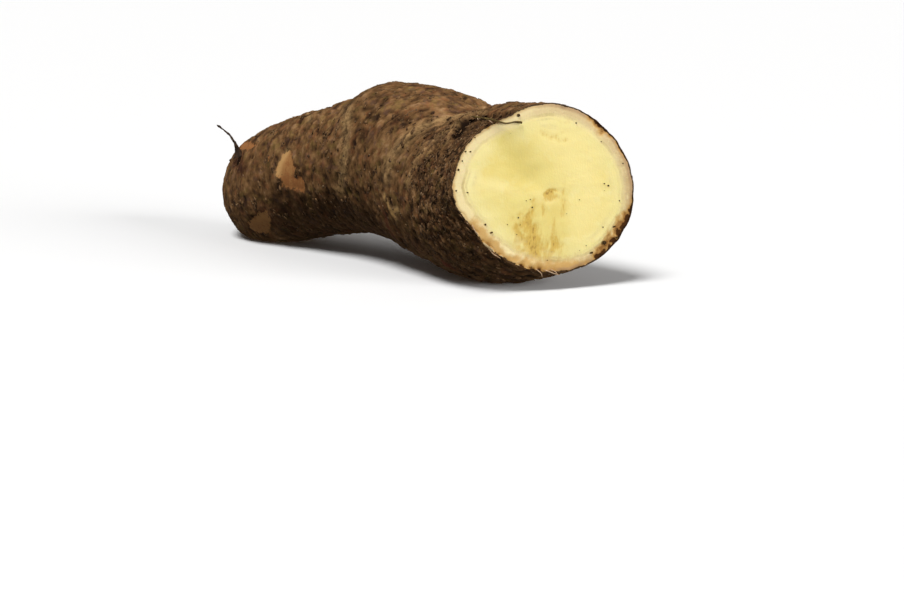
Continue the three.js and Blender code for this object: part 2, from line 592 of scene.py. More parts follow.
    def __post_init__(self) -> None:
        """Works out the relief and the masks for every ring and side."""
        self.facing = np.degrees(self.skin.angles)[None, :]
        self.along = self.skin.along[:, None]
        self.grain = self._grain_lines()
        self._peel()
        self._lines()
        self._roughen()
        self._bite()
        self._strew()

    def _grain_lines(self) -> Array:
        """The skin's places with the bark's grain straightened out, which leans over the bulge.

        Returns:
            For every ring and side, a place for noise that runs along the grain.
        """
        skin = self.skin
        lean = bell(turned(self.facing[0], self.grain_facing), self.grain_spread)
        base = np.linspace(-10.0, skin.along[-1] + 20.0, 500)
        drift = np.interp(base, *zip(*self.grain_drift))
        straight = np.stack([np.interp(skin.along, base + share * drift, base) for share in lean], 1)
        return np.concatenate([straight[..., None], skin.unrolled[..., 1:]], -1)

    def _flat(self, place: Place) -> tuple[Array, Array]:
        """How far every place on the skin is from one place, along it and around it."""
        turn = turned(self.facing, place[1])
        return self.along - place[0], np.radians(turn) * self.skin.radius[:, None]

    def _to_line(self, start: Place, end: Place) -> Array:
        """The distance over the skin to a straight line on it.

        Args:
            start: Where the line starts.
            end: Where it ends.

        Returns:
            The distance for every ring and side.
        """
        ax, ay = self._flat(start)
        bx, by = self._flat(end)
        ex, ey = ax - bx, ay - by
        share = np.clip((ax * ex + ay * ey) / np.maximum(ex * ex + ey * ey, 1e-9), 0.0, 1.0)
        return np.hypot(ax - share * ex, ay - share * ey)

    def _inside(self, outline: tuple[Place, ...]) -> Array:
        """The distance over the skin to an outline.

        Args:
            outline: The outline's corners.

        Returns:
            The distance for every ring and side, above zero inside the outline.
        """
        ends = list(zip(outline, outline[1:] + outline[:1]))
        gap = np.min([self._to_line(a, b) for a, b in ends], axis=0)
        within = np.zeros(gap.shape, bool)
        for a, b in ends:
            ax, ay = self._flat(a)
            bx, by = self._flat(b)
            near = np.abs(ay - by) < math.pi * self.skin.radius[:, None]
            crosses = near & ((ay > 0) != (by > 0))
            rise = np.where(crosses, ay - by, 1.0)
            within ^= crosses & (ax - ay * (ax - bx) / rise < 0)
        return np.where(within, gap, -gap)

    def _peel(self) -> None:
        """Lays out the peeled places."""
        gaps = np.array([self._inside(p.outline) for p in self.peels])
        nearest = gaps.argmax(0)
        self.peel = gaps.max(0)
        self.peel_tone = np.array([p.tone for p in self.peels])[nearest]
        self.peel_sink = np.array([p.depth for p in self.peels])[nearest]

    def _lines(self) -> None:
        """Lays out the welts, creases and stained spots."""
        self.line_rise, self.pale, self.dark, self.red = (np.zeros(self.peel.shape) for _ in range(4))
        for welt in self.welts:
            gap = np.min([self._to_line(a, b) for a, b in zip(welt.path, welt.path[1:])], axis=0)
            share = bell(gap, welt.width)
            self.line_rise += welt.rise * share
            self.pale = np.maximum(self.pale, welt.pale * share)
            self.dark = np.maximum(self.dark, welt.dark * share)
            self.red = np.maximum(self.red, welt.red * share)

    def _pit(self) -> tuple[Array, Array]:
        """The pit beside the slice.

        Returns:
            How far the bark is in the pit, and how far under its outer edge, both from 0 to 1.
        """
        gap = self._inside(self.hollow)
        pit = smooth_step(-0.4, 0.5, gap) * (1.0 - smooth_step(*self.hollow_fades, self.facing))
        lip = smooth_step(-0.15, 0.4, gap) * smooth_step(3.4, 1.3, gap)
        under = lip * smooth_step(204.0, 198.0, self.along) * smooth_step(142.0, 132.0, self.facing)
        return pit, under

    def _roughen(self) -> None:
        """Adds up the relief, in millimetres, and the masks that follow it."""
        places, grain = self.skin.points, self.grain
        pit, under = self._pit()
        side = bell(turned(self.facing, self.rough_facing), self.rough_spread)
        rough = smooth_step(*self.rough_starts, self.along) * side
        calm = 1.0 - self.tail_calm * (1.0 - smooth_step(*self.tail_ends, self.along))
        self.rough = np.maximum(rough, 0.75 * pit)
        pocks = smooth_step(0.30, 0.55, self.pock_marks.rounded(grain))
        self.pocks = np.clip(pocks - 0.6 * pit, 0.0, 1.0)
        wrinkles = self.wrinkles.creased(grain, 0.45) + self.fine_wrinkles.creased(grain, 0.45)
        grit = (0.2 + 0.12 * rough) * self.grit.rounded(places)
        fine = calm * (wrinkles + grit) + self.nubs.rounded(places)
        fine = fine + self.rough * self.crust.creased(places, 0.5) - 0.55 * calm * self.pocks
        peeled = smooth_step(-0.35, 0.35, self.peel)
        self.fine_rise = fine * (1.0 - 0.85 * peeled)
        broad = self.lumps.rounded(places) + calm * self.folds.rounded(grain)
        relief = broad + self.fine_rise + self.line_rise
        relief = relief - self.hollow_depth * pit - self.undercut * under
        fade = 1.0 - 0.7 * smooth_step(5.0, 0.0, self.skin.to_rim)
        self.rise = fade * relief - self.peel_sink * peeled
        self._darken(pit, under)

    def _darken(self, pit: Array, under: Array) -> None:
        """Adds painted shade and shadow to the dark spots, in the pit, under its outer edge, on the
        underside and in the pock marks, and the dark place under the neck.

        Args:
            pit: How far the bark is in the pit.
            under: How far it is under the pit's outer edge.
        """
        # Painted shade on the underside, stronger away from the tail.
        low = smooth_step(208.0, 245.0, self.facing) * (1.0 - smooth_step(300.0, 335.0, self.facing))
        low = low * (0.2 + 0.3 * smooth_step(60.0, 90.0, self.along))
        # The dark place under the neck, drawn darker with a frayed edge.
        frayed = self._inside(self.dark_stain_and_shade) + self.stain.rounded(self.skin.points)
        dark_stain_and_shade = 0.72 * smooth_step(-1.6, 2.2, frayed)
        # 0.6 * pit is painted shade in the pit, 2 * under a painted black shadow under its outer edge, low
        # painted shade on the underside and 0.55 * pocks painted shade in the sunk pock marks.
        self.dark = np.maximum.reduce([self.dark, 0.6 * pit, 2.0 * under, low, dark_stain_and_shade, 0.55 * self.pocks])

    def _bite(self) -> None:
        """Breaks the bark's edge back from the slice here and there, most at the lower left."""
        angles = self.skin.angles
        ring = np.stack([np.cos(angles), np.sin(angles), np.zeros_like(angles)], -1)
        steps = smooth_step(-0.1, 0.35, Grain(23).layers(ring * 6.0, 2))
        turn = turned(self.facing[0], self.torn_facing)
        bite = (0.25 + 0.6 * bell(turn, 30.0)) * (0.25 + steps)
        self.rise = self.rise - bite[None, :] * smooth_step(1.8, 0.2, self.skin.to_rim)
        self.bare = (1.5 * bell(turn, 24.0) * steps - 0.5)[None, :] - self.skin.to_rim

    def _strew(self) -> None:
        """Says where flakes and soil lie, from 0 to 1: not where the bark has peeled or meets the floor."""
        kept = smooth_step(0.8, -0.6, self.peel) * smooth_step(0.0, 2.0, self.skin.to_rim)
        kept = kept * smooth_step(1.6, 3.2, self.skin.points[..., 2])
        self.flaky = kept * np.clip(0.12 + self.rough + 0.3 * self.dark, 0.0, 1.0)
        self.soiled = kept * np.clip(0.16 + 0.84 * self.rough, 0.0, 1.0)


# The slice


@dataclass(frozen=True)
class Vein:
    """A line on the slice that marks it: stained fibres, a shade, a ridge, a tan or a crusted edge."""

    path: tuple[Place, ...]
    width: float
    strength: float


@dataclass
class Slice:
    """The cut face: rings of points from the bark's edge to the middle, and what is drawn on it.

    Attributes:
        outline: The points of the bark's edge.
        first_insets: How far in from the edge the first rings lie.
        ring_step: The gap between the rings after them.
        veins: Amber lines of stained fibres.
        shades: Places in the flesh painted darker: painted shade in the dished hollow, the first, and a
            darker patch low on the slice.
        tans: Where the ring of inner peel has gone tan.
        ridges: Places that the knife left proud, painted brighter as a highlight along them.
        crusts: Where the edge is dry, brown and crumbled.
        blotches: The noise that lets what is drawn show here and not there.
        waves: The low waves that the knife left.
        most: How strong what is drawn may get where lines meet.
    """

    skin: Skin
    outline: Array
    first_insets: tuple[float, ...] = (0.3, 0.7, 1.2, 1.8, 2.5, 3.3, 4.1, 4.9, 5.8)
    ring_step: float = 0.95
    veins: tuple[Vein, ...] = (
        Vein(((-0.4, -1.7), (1.2, -1.2), (2.7, -0.7)), 0.8, 1.35),
        Vein(((-0.8, -2.2), (2.4, -1.7)), 1.5, 0.35),
        Vein(((-12.3, -14.2), (-10.7, -18.7), (-12.3, -21.0)), 0.9, 0.5),
        Vein(((-6.3, -13.2), (-5.0, -17.9), (-4.1, -22.9)), 0.9, 0.65),
        Vein(((-7.6, -11.0), (-5.6, -16.5), (-7.0, -25.8)), 1.3, 0.35),
        Vein(((-9.5, -13.0), (-7.5, -21.0), (-7.0, -30.0)), 5.0, 0.52),
        Vein(((-6.0, -24.0), (1.5, -26.0), (5.0, -30.0)), 5.2, 0.5),
        Vein(((7.0, -4.0), (6.0, -12.0), (3.0, -22.0)), 2.6, 0.2),
        Vein(((1.3, -25.2), (4.1, -19.6)), 1.0, 0.4),
        Vein(((0.2, -3.9), (3.4, -3.2)), 0.8, 0.55),
        Vein(((6.8, 2.0), (6.9, -4.0), (6.6, -10.6)), 0.6, 0.36),
        Vein(((-1.5, -3.9), (-1.4, -9.7)), 0.6, 0.45),
        Vein(((2.8, -11.8), (2.6, -21.4)), 0.5, 0.4),
        Vein(((-5.4, -4.2), (-6.2, -8.8), (-8.6, -11.6)), 0.8, 0.45),
        Vein(((-2.4, 21.4), (0.4, 19.6), (3.0, 19.4)), 0.8, 0.5),
        Vein(((5.0, 21.2), (7.7, 21.8)), 0.7, 0.42),
        Vein(((4.2, 18.0), (7.7, 18.4)), 0.7, 0.45),
        Vein(((7.2, 24.6), (8.6, 25.0)), 0.7, 0.35),
    )
    shades: tuple[Vein, ...] = (
        Vein(((-20.7, 22.0), (-16.0, 15.0), (-9.5, 7.0), (-7.6, 5.6)), 4.4, 0.85),
        Vein(((-8.0, -19.0), (2.0, -22.0)), 8.0, 0.35),
    )
    tans: tuple[Vein, ...] = (
        Vein(((-29.5, -13.0), (-26.5, -17.0), (-22.5, -21.0)), 2.6, 1.25),
        Vein(((-22.0, -21.8), (-15.0, -27.0)), 1.5, 1.0),
        Vein(((-11.0, -28.5), (-6.5, -29.8), (1.0, -31.2), (9.0, -31.5)), 3.0, 1.2),
        Vein(((9.0, -32.0), (20.0, -28.5)), 1.5, 0.7),
        Vein(((-37.5, -3.0), (-37.8, 3.0)), 0.9, 0.7),
        Vein(((-34.0, 17.0), (-26.0, 25.0)), 0.9, 0.5),
        Vein(((33.0, -14.0), (36.5, -3.0)), 1.4, 0.6),
    )
    ridges: tuple[Vein, ...] = (
        Vein(((-27.4, 3.4), (-16.0, 2.0), (-5.0, -1.0), (0.0, -3.0)), 2.4, 0.6),
        Vein(((3.0, 20.0), (13.0, 10.0), (18.0, -2.0), (14.0, -16.0)), 6.5, 0.55),
    )
    crusts: tuple[Vein, ...] = (
        Vein((
            (34.6, -11.5), (33.4, -14.4), (31.9, -17.4), (29.4, -20.4), (25.8, -23.5), (22.1, -26.2),
        ), 1.6, 1.8),
        Vein(((36.6, -4.0), (35.6, -8.0)), 0.7, 0.8),
        Vein(((22.1, -26.4), (17.9, -28.9), (12.0, -31.4)), 0.5, 0.4),
        Vein(((30.3, -13.4), (28.2, -16.8), (25.7, -19.8)), 1.5, 0.6),
        Vein(((-12.5, -29.6), (-8.0, -31.2), (-3.0, -32.0)), 1.5, 1.0),
        Vein(((21.0, 25.2), (27.0, 19.0), (33.5, 9.0)), 0.6, 0.6),
        Vein(((20.5, 25.4), (23.5, 22.4), (26.0, 19.4)), 0.7, 0.8),
        Vein(((17.4, 26.8), (20.0, 24.0), (21.6, 20.9)), 1.15, 1.05),
        Vein(((-24.0, 24.6), (-21.4, 27.0), (-18.6, 29.0)), 0.9, 0.85),
        Vein(((-17.4, 29.8), (-12.0, 31.0), (-8.2, 31.6)), 0.6, 0.6),
        Vein(((-32.0, -11.0), (-27.0, -17.0), (-20.5, -23.5), (-10.0, -29.3)), 1.0, 0.6),
        Vein(((-24.5, -17.5), (-20.5, -20.5)), 1.2, 0.12),
        Vein(((-4.0, -31.0), (6.0, -32.0)), 1.0, 0.5),
    )
    blotches: Relief = Relief(31, 1.0, (2.2, 2.6, 1.0))
    waves: Relief = Relief(37, 1.0, (9.0, 5.0, 1.0), 3)
    most: float = 1.6

    def __post_init__(self) -> None:
        """Lays out the rings and everything that is drawn on them."""
        normal = self.skin.slice_normal
        self.across = np.cross((0.0, 0.0, 1.0), normal)
        self.middle = self.outline.mean(0)
        girth = np.linalg.norm(self.outline - self.middle, axis=1).mean()
        inner = np.arange(self.first_insets[-1] + self.ring_step, girth - 0.5, self.ring_step)
        shares = np.r_[self.first_insets, inner] / girth
        spokes = self.middle - self.outline
        self.points = self.outline[None] + shares[:, None, None] * spokes[None]
        self.inset = self._edge_gap(self.points)
        self.cut = self.flat(self.points)
        self.centre_cut = self.flat(self.middle)
        self.amber = self._blotched(self.veins, 0.75, 0.9)
        # Positive where painted shade lies, negative where a painted highlight lies along the ridges.
        self.shade = self._drawn(self.shades) - 0.6 * self._drawn(self.ridges)
        self.crust = self._blotched(self.crusts, 0.7, 1.2)
        self.tan = self._blotched(self.tans, 0.85, 0.7)
        sink = self._sink()
        self.points = self.points - sink[..., None] * normal
        self.centre = self.middle - sink[-1].mean() * normal

    def flat(self, points: Array) -> Array:
        """Points on the slice as millimetres across and up from the slice's middle."""
        gap = points - self.skin.slice_centre
        return np.stack([gap @ self.across, gap[..., 2], np.zeros(gap.shape[:-1])], -1)

    def _edge_gap(self, points: Array) -> Array:
        """The distance from the slice's edge to points on the slice."""
        ends = zip(self.outline, np.roll(self.outline, -1, axis=0))
        return np.min([gap_to(points, start, end) for start, end in ends], axis=0)

    def _drawn(self, veins: tuple[Vein, ...]) -> Array:
        """How strongly some lines mark the slice.

        Args:
            veins: The lines.

        Returns:
            The strength at every point of the slice.
        """
        total = np.zeros(self.points.shape[:-1])
        for vein in veins:
            path = np.array(vein.path)
            gaps = [gap_to(self.cut[..., :2], start, end) for start, end in zip(path, path[1:])]
            total += vein.strength * bell(np.min(gaps, axis=0), vein.width)
        return np.clip(total, -1.0, self.most)

    def _blotched(self, veins: tuple[Vein, ...], level: float, swing: float) -> Array:
        """How strongly some lines mark the slice, with blotches: their middle level and their swing."""
        return self._drawn(veins) * np.clip(level + swing * self.blotches.rounded(self.cut), 0.0, None)

    def _sink(self) -> Array:
        """How far the slice lies below the knife's plane.

        Returns:
            The depth at every point, in millimetres.
        """
        waves = 0.12 * (1.0 + self.waves.rounded(self.cut))
        edge = 0.3 * (1.0 - smooth_step(0.0, 0.7, self.inset))
        seam = 0.12 * bell(self.inset - 4.3, 0.5)
        sink = 0.05 + waves + edge + seam
        sink += 0.7 * self._drawn(self.shades[:1]) + 0.25 * np.clip(self.amber, 0.0, 1.0)
        sink += 0.5 * np.clip(self.crust, 0.0, 1.0) - 0.15 * self._drawn(self.ridges)
        return np.clip(sink, 0.0, None)


# Materials


class Wire:
    """One number or colour that runs through a tree of nodes, which sums can be written on."""

    def __init__(self, bench: "Tree", socket: bpy.types.NodeSocket) -> None:
        """Wraps a node's output."""
        self.bench, self.socket = bench, socket

    def _sum(self, operation: str, first: Any, second: Any) -> "Wire":
        """Adds a Math node."""
        return self.bench.add("ShaderNodeMath", {"operation": operation}, {0: first, 1: second})

    def __add__(self, other: Any) -> "Wire":
        """The wire plus a number or wire."""
        return self._sum("ADD", self, other)

    def __sub__(self, other: Any) -> "Wire":
        """The wire less a number or wire."""
        return self._sum("SUBTRACT", self, other)

    def __rsub__(self, other: Any) -> "Wire":
        """A number less the wire."""
        return self._sum("SUBTRACT", other, self)

    def __mul__(self, other: Any) -> "Wire":
        """The wire times a number or wire."""
        return self._sum("MULTIPLY", self, other)

    __radd__ = __add__
    __rmul__ = __mul__

    def rise(self, low: float, high: float) -> "Wire":
        """A soft step along the wire.

        Args:
            low: Where the step is 0.
            high: Where it is 1.

        Returns:
            The step.
        """
        settings = {"interpolation_type": "SMOOTHSTEP"}
        sockets = {"Value": self, "From Min": low, "From Max": high}
        return self.bench.add("ShaderNodeMapRange", settings, sockets)


class Tree:
    """A tree of nodes, for a material or for a mesh."""

    def __init__(self, tree: bpy.types.NodeTree) -> None:
        """Empties the tree."""
        self.nodes, self.links = tree.nodes, tree.links
        self.nodes.clear()

    def node(self, kind: str, settings: dict[str, Any], sockets: dict[Any, Any]) -> bpy.types.Node:
        """Adds a node.

        Args:
            kind: The node's type.
            settings: Its settings by name, which are set first. A ramp's stops go in as "stops".
            sockets: The values or links of its sockets, by name or number.

        Returns:
            The node.
        """
        made = self.nodes.new(kind)
        for name, value in settings.items():
            if name == "stops":
                self._stops(made, value)
            else:
                setattr(made, name, value)
        for key, value in sockets.items():
            self.feed(made.inputs[key], value)
        return made

    def add(self, kind: str, settings: dict[str, Any], sockets: dict[Any, Any], out: Any = 0) -> Wire:
        """Adds a node and gives one of its outputs."""
        return Wire(self, self.node(kind, settings, sockets).outputs[out])

    def feed(self, socket: bpy.types.NodeSocket, value: Any) -> None:
        """Links a wire to a socket, or sets the socket's own value.

        Args:
            socket: The socket.
            value: A wire, a number, a colour or anything else that the socket holds.
        """
        if isinstance(value, Wire):
            self.links.new(value.socket, socket)
        elif isinstance(value, tuple) and socket.type == "RGBA":
            socket.default_value = (*value, 1.0)
        else:
            socket.default_value = value

    @staticmethod
    def _stops(ramp: bpy.types.Node, stops: tuple[tuple[float, Colour], ...]) -> None:
        """Sets a colour ramp's stops.

        Args:
            ramp: The ramp's node.
            stops: The place from 0 to 1 and the colour of each stop, in order.
        """
        elements = ramp.color_ramp.elements
        while len(elements) < len(stops):
            elements.new(0.5)
        for element, (place, colour) in zip(elements, stops):
            element.position = place
            element.color = (*colour, 1.0)


class Bench(Tree):
    """Where one material is put together."""

    def __init__(self, name: str) -> None:
        """Starts an empty material.

        Args:
            name: The material's name.
        """
        self.material = bpy.data.materials.new(name)
        self.material.use_nodes = True
        super().__init__(self.material.node_tree)

    def read(self, name: str, vector: bool = False) -> Wire:
        """Reads one of the mesh's own attributes."""
        output = "Vector" if vector else "Fac"
        return self.add("ShaderNodeAttribute", {"attribute_name": name}, {}, output)

    def object_place(self) -> Wire:
        """The place on the object, in metres."""
        return self.add("ShaderNodeTexCoord", {}, {}, "Object")

    def part(self, place: Wire, axis: str) -> Wire:
        """One of a place's three numbers."""
        return self.add("ShaderNodeSeparateXYZ", {}, {0: place}, axis)

    def stretch(self, place: Wire, scale: Spot) -> Wire:
        """Scales a place."""
        return self.add("ShaderNodeMapping", {}, {"Vector": place, "Scale": scale})

    def noise(self, place: Wire, scale: float = 1.0, detail: float = 4.0, rough: float = 0.55) -> Wire:
        """Soft noise, from about -0.5 to 0.5."""
        sockets = {"Vector": place, "Scale": scale, "Detail": detail, "Roughness": rough}
        return self.add("ShaderNodeTexNoise", {}, sockets) - 0.5

    def cells(self, place: Wire, scale: float) -> Wire:
        """The distance to the nearest of many scattered points."""
        sockets = {"Vector": place, "Scale": scale}
        return self.add("ShaderNodeTexVoronoi", {"feature": "F1"}, sockets, "Distance")

    def tint(self, colour: Colour, strength: Any) -> Wire:
        """A colour made lighter or darker by a number."""
        sockets = {0: colour, "Scale": strength}
        return self.add("ShaderNodeVectorMath", {"operation": "SCALE"}, sockets)

    def blend(self, share: Any, under: Any, over: Any, lay: Lay = Lay.OVER) -> Wire:
        """Lays one colour over another.

        Args:
            share: How much of it shows, from 0 to 1.
            under: The colour below.
            over: The colour above.
            lay: How it is laid.

        Returns:
            The colour of both.
        """
        settings = {"data_type": "RGBA", "blend_type": lay.value, "clamp_factor": True}
        made = self.node("ShaderNodeMix", settings, {})
        for socket, value in ((0, share), (6, under), (7, over)):
            self.feed(made.inputs[socket], value)
        return Wire(self, made.outputs[2])

    def ramp(self, value: Wire, stops: tuple[tuple[float, Colour], ...]) -> Wire:
        """Turns a number into a colour."""
        return self.add("ShaderNodeValToRGB", {"stops": stops}, {"Fac": value})

    def bump(self, height: Wire, distance: float, strength: float = 1.0) -> Wire:
        """Turns a height from 0 to 1 into a bent normal; distance is its full height in metres."""
        sockets = {"Height": height, "Distance": distance, "Strength": strength}
        return self.add("ShaderNodeBump", {}, sockets)

    def finish(self, colour: Any, roughness: Any, normal: Wire | None, **own: Any) -> bpy.types.Material:
        """Ends the material in one shader.

        Args:
            colour: The base colour.
            roughness: How matt it is.
            normal: The bent normal, if there is one.
            own: Values that are the same all over, by socket name with _ for a space.

        Returns:
            The material.
        """
        sockets = {"Base Color": colour, "Roughness": roughness}
        if normal is not None:
            sockets["Normal"] = normal
        sockets.update({name.replace("_", " "): value for name, value in own.items()})
        shader = self.node("ShaderNodeBsdfPrincipled", {}, sockets)
        self.node("ShaderNodeOutputMaterial", {}, {"Surface": Wire(self, shader.outputs[0])})
        return self.material


@dataclass(frozen=True)
class BarkNoise:
    """What the bark's colours share.

    Attributes:
        grain: The place along the bark's grain, in millimetres.
        skin: The place in space, in millimetres.
        mottle: Broad noise along the grain.
        streaks: Fine noise along the grain.
        grit: Fine noise.
    """

    grain: Wire
    skin: Wire
    mottle: Wire
    streaks: Wire
    grit: Wire


@dataclass(frozen=True)
class BarkFinish:
    """Rough, matt, earthy bark, with the peeled places and painted shade in its creases.

    Attributes:
        peeled: The paler and the deeper colour of the peeled places.
        tones: Where pits_and_shadow, shade, plain, worn and dust lie between the creases and the welts; the
            relief's height drives part of it, as painted shade in the creases.
    """

    # A near-black: dark specks, painted shade in the deepest creases, and painted shadows along peeled
    # edges and under the pit's outer edge.
    pits_and_shadow: Colour = (0.012, 0.0052, 0.0021)
    shade: Colour = (0.048, 0.0225, 0.0092)
    plain: Colour = (0.135, 0.0672, 0.0248)
    worn: Colour = (0.235, 0.124, 0.0505)
    dust: Colour = (0.42, 0.255, 0.13)
    rust: Colour = (0.172, 0.068, 0.026)
    moss: Colour = (0.158, 0.098, 0.029)
    plum: Colour = (0.098, 0.050, 0.035)
    pale: Colour = (0.30, 0.182, 0.078)
    scuff: Colour = (0.47, 0.275, 0.10)
    blood: Colour = (0.20, 0.042, 0.026)
    peeled: tuple[Colour, Colour] = ((0.45, 0.215, 0.072), (0.345, 0.138, 0.044))
    sapwood: Colour = (0.60, 0.34, 0.13)
    cortex: Colour = (0.74, 0.56, 0.30)
    # The colour that the dark places are multiplied by: darker stains, and painted shade in the pit, under
    # its edge, on the underside, in sunk creases and in pock marks.
    dark_stain_and_shade: Colour = (0.20, 0.17, 0.155)
    tones: tuple[float, ...] = (0.1, 0.32, 0.52, 0.72, 1.0)

    def material(self) -> bpy.types.Material:
        """The bark's material.

        Returns:
            The material.
        """
        b = Bench("bark")
        grain, skin = b.read("grain", vector=True), b.read("skin", vector=True)
        mottle = b.noise(b.stretch(grain, (0.26, 0.15, 0.15)), detail=3.0)
        streaks = b.noise(b.stretch(grain, (0.68, 0.44, 0.44)), detail=4.0, rough=0.58)
        noise = BarkNoise(grain, skin, mottle, streaks, b.noise(skin, 1.2, 3.0, 0.62))
        colour = self._specks(b, noise, self._earth(b, noise))
        colour, off = self._peeled(b, noise, colour)
        colour = self._stained(b, noise, colour, off)
        colour = self._edge(b, noise, colour)
        normal = b.bump(self._height(b, noise) * (1.0 - off * 0.5), 0.6 * MM, 0.9)
        roughness = 0.92 - off * 0.22 + noise.grit * 0.15
        return b.finish(colour, roughness, normal, Specular_IOR_Level=0.1)

    def _earth(self, b: Bench, noise: BarkNoise) -> Wire:
        """The bark's colour: noise, and the height of its relief, which paints shade into its creases and
        lightens its welts towards the dust colour.

        Args:
            b: The bench.
            noise: The shared noise.

        Returns:
            The colour.
        """
        rough = b.read("rough")
        # rise paints shade into the creases and lightens the welts; the noise gives the bark's own tone.
        broad = 0.52 + b.read("rise") * 0.34 + noise.streaks * 0.56 + noise.mottle * 1.15
        tone = broad + noise.grit * (0.18 + rough * 0.43) - rough * 0.13
        earths = (self.pits_and_shadow, self.shade, self.plain, self.worn, self.dust)
        colour = b.ramp(tone, tuple(zip(self.tones, earths)))
        # shaded carries the same painted crease shade into the hues laid on top.
        shaded = (tone - 0.5) * 1.6 + 1.0
        drift = b.noise(noise.skin, 0.055, 3.0)
        rust = b.noise(noise.skin, 0.24, 4.0, 0.65).rise(0.0, 0.16) * 0.7
        moss = b.noise(noise.skin, 0.19, 4.0, 0.62).rise(0.01, 0.17) * 0.65 + drift * 0.2
        plum = b.noise(noise.skin, 0.31, 3.0, 0.6).rise(0.03, 0.2) * 0.6
        pale = b.read("pale") * (0.7 + noise.streaks * 1.6 + noise.grit * 1.6)
        for share, hue in ((rust, self.rust), (moss, self.moss), (plum, self.plum), (pale, self.pale)):
            colour = b.blend(share, colour, b.tint(hue, shaded))
        return b.blend(b.read("red") * (0.8 + noise.grit * 1.5), colour, self.blood)

    def _specks(self, b: Bench, noise: BarkNoise, colour: Wire) -> Wire:
        """Strews pale flecks and dark specks over the bark, most where it is rough.

        Args:
            b: The bench.
            noise: The shared noise.
            colour: The bark's colour.

        Returns:
            The colour with the flecks and specks.
        """
        rough = b.read("rough")
        flecks = b.cells(b.stretch(noise.grain, (0.62, 0.36, 0.36)), 1.0).rise(0.2, 0.08)
        flecks = flecks * (0.18 + rough * 0.82) * noise.grit.rise(-0.02, 0.12)
        specks = b.cells(b.stretch(noise.skin, (0.5, 0.5, 0.5)), 1.0).rise(0.24, 0.12)
        specks = specks * noise.streaks.rise(0.02, -0.08) * (0.08 + rough * 0.62)
        return b.blend(specks, b.blend(flecks, colour, self.dust), self.pits_and_shadow)

    def _peeled(self, b: Bench, noise: BarkNoise, colour: Wire) -> tuple[Wire, Wire]:
        """Lays the peeled places over the bark, with a thin painted shadow along their edge.

        Args:
            b: The bench.
            noise: The shared noise.
            colour: The bark's colour.

        Returns:
            The colour with the peeled places, and where they are.
        """
        streaks, mottle, grit = noise.streaks, noise.mottle, noise.grit
        edge = b.read("peel") + grit * 3.4 + streaks * 5.0 + mottle * 2.6
        off = edge.rise(-0.3, 0.5)
        lip = edge.rise(-1.0, -0.2) * (1.0 - off)
        tone = b.read("peel_tone") + streaks * 3.0 + mottle * 2.4 + grit * 2.6
        under = b.blend(tone.rise(-0.1, 1.0), *self.peeled)
        # A thin painted shadow along the peeled edge.
        colour = b.blend(lip * 0.3, colour, self.pits_and_shadow)
        return b.blend(off * 0.9, colour, under), off

    def _stained(self, b: Bench, noise: BarkNoise, colour: Wire, off: Wire) -> Wire:
        """Shows the pale wood in the peeled places, the dark places with their painted shade and shadow,
        and the scuffs.

        Args:
            b: The bench.
            noise: The shared noise.
            colour: The bark's colour.
            off: Where it has peeled.

        Returns:
            The stained colour.
        """
        dark, pale = b.read("dark"), b.read("pale")
        colour = b.blend(off * pale * 0.8, colour, self.sapwood)
        # The dark places: darker stains, and painted shade in the pit, on the underside, in sunk creases
        # and in pock marks.
        colour = b.blend(dark * (0.85 - off * 0.25), colour, self.dark_stain_and_shade, Lay.DARKEN)
        # Where the dark places pass 1, under the pit's outer edge, a painted black shadow.
        colour = b.blend(dark.rise(1.0, 1.6) * 0.75, colour, self.pits_and_shadow)
        scuffed = (pale + noise.streaks * 1.5 + noise.grit).rise(1.15, 1.8)
        return b.blend(scuffed * (0.8 + noise.mottle), colour, self.scuff)

    def _edge(self, b: Bench, noise: BarkNoise, colour: Wire) -> Wire:
        """Shows the peel's pale side where the bark's edge has broken back from the slice."""
        bare = (b.read("bare") + noise.grit * 0.7).rise(-0.05, 0.15)
        return b.blend(bare, colour, self.cortex)

    def _height(self, b: Bench, noise: BarkNoise) -> Wire:
        """The bark's finest bumps, which are stronger where it is rough.

        Args:
            b: The bench.
            noise: The shared noise.

        Returns:
            Their height.
        """
        rough = b.read("rough")
        coarse = noise.streaks * (0.36 + rough * 0.14) + noise.grit * (0.2 + rough * 0.5)
        return coarse + b.noise(noise.skin, 2.6, 3.0) * (0.05 + rough * 0.3)


@dataclass(frozen=True)
class SliceNoise:
    """What the slice's colours share.

    Attributes:
        cut: The place on the slice, in millimetres.
        fine: Fine noise.
        broad: Broad noise.
        threads: Noise drawn out along the fibres.
    """

    cut: Wire
    fine: Wire
    broad: Wire
    threads: Wire


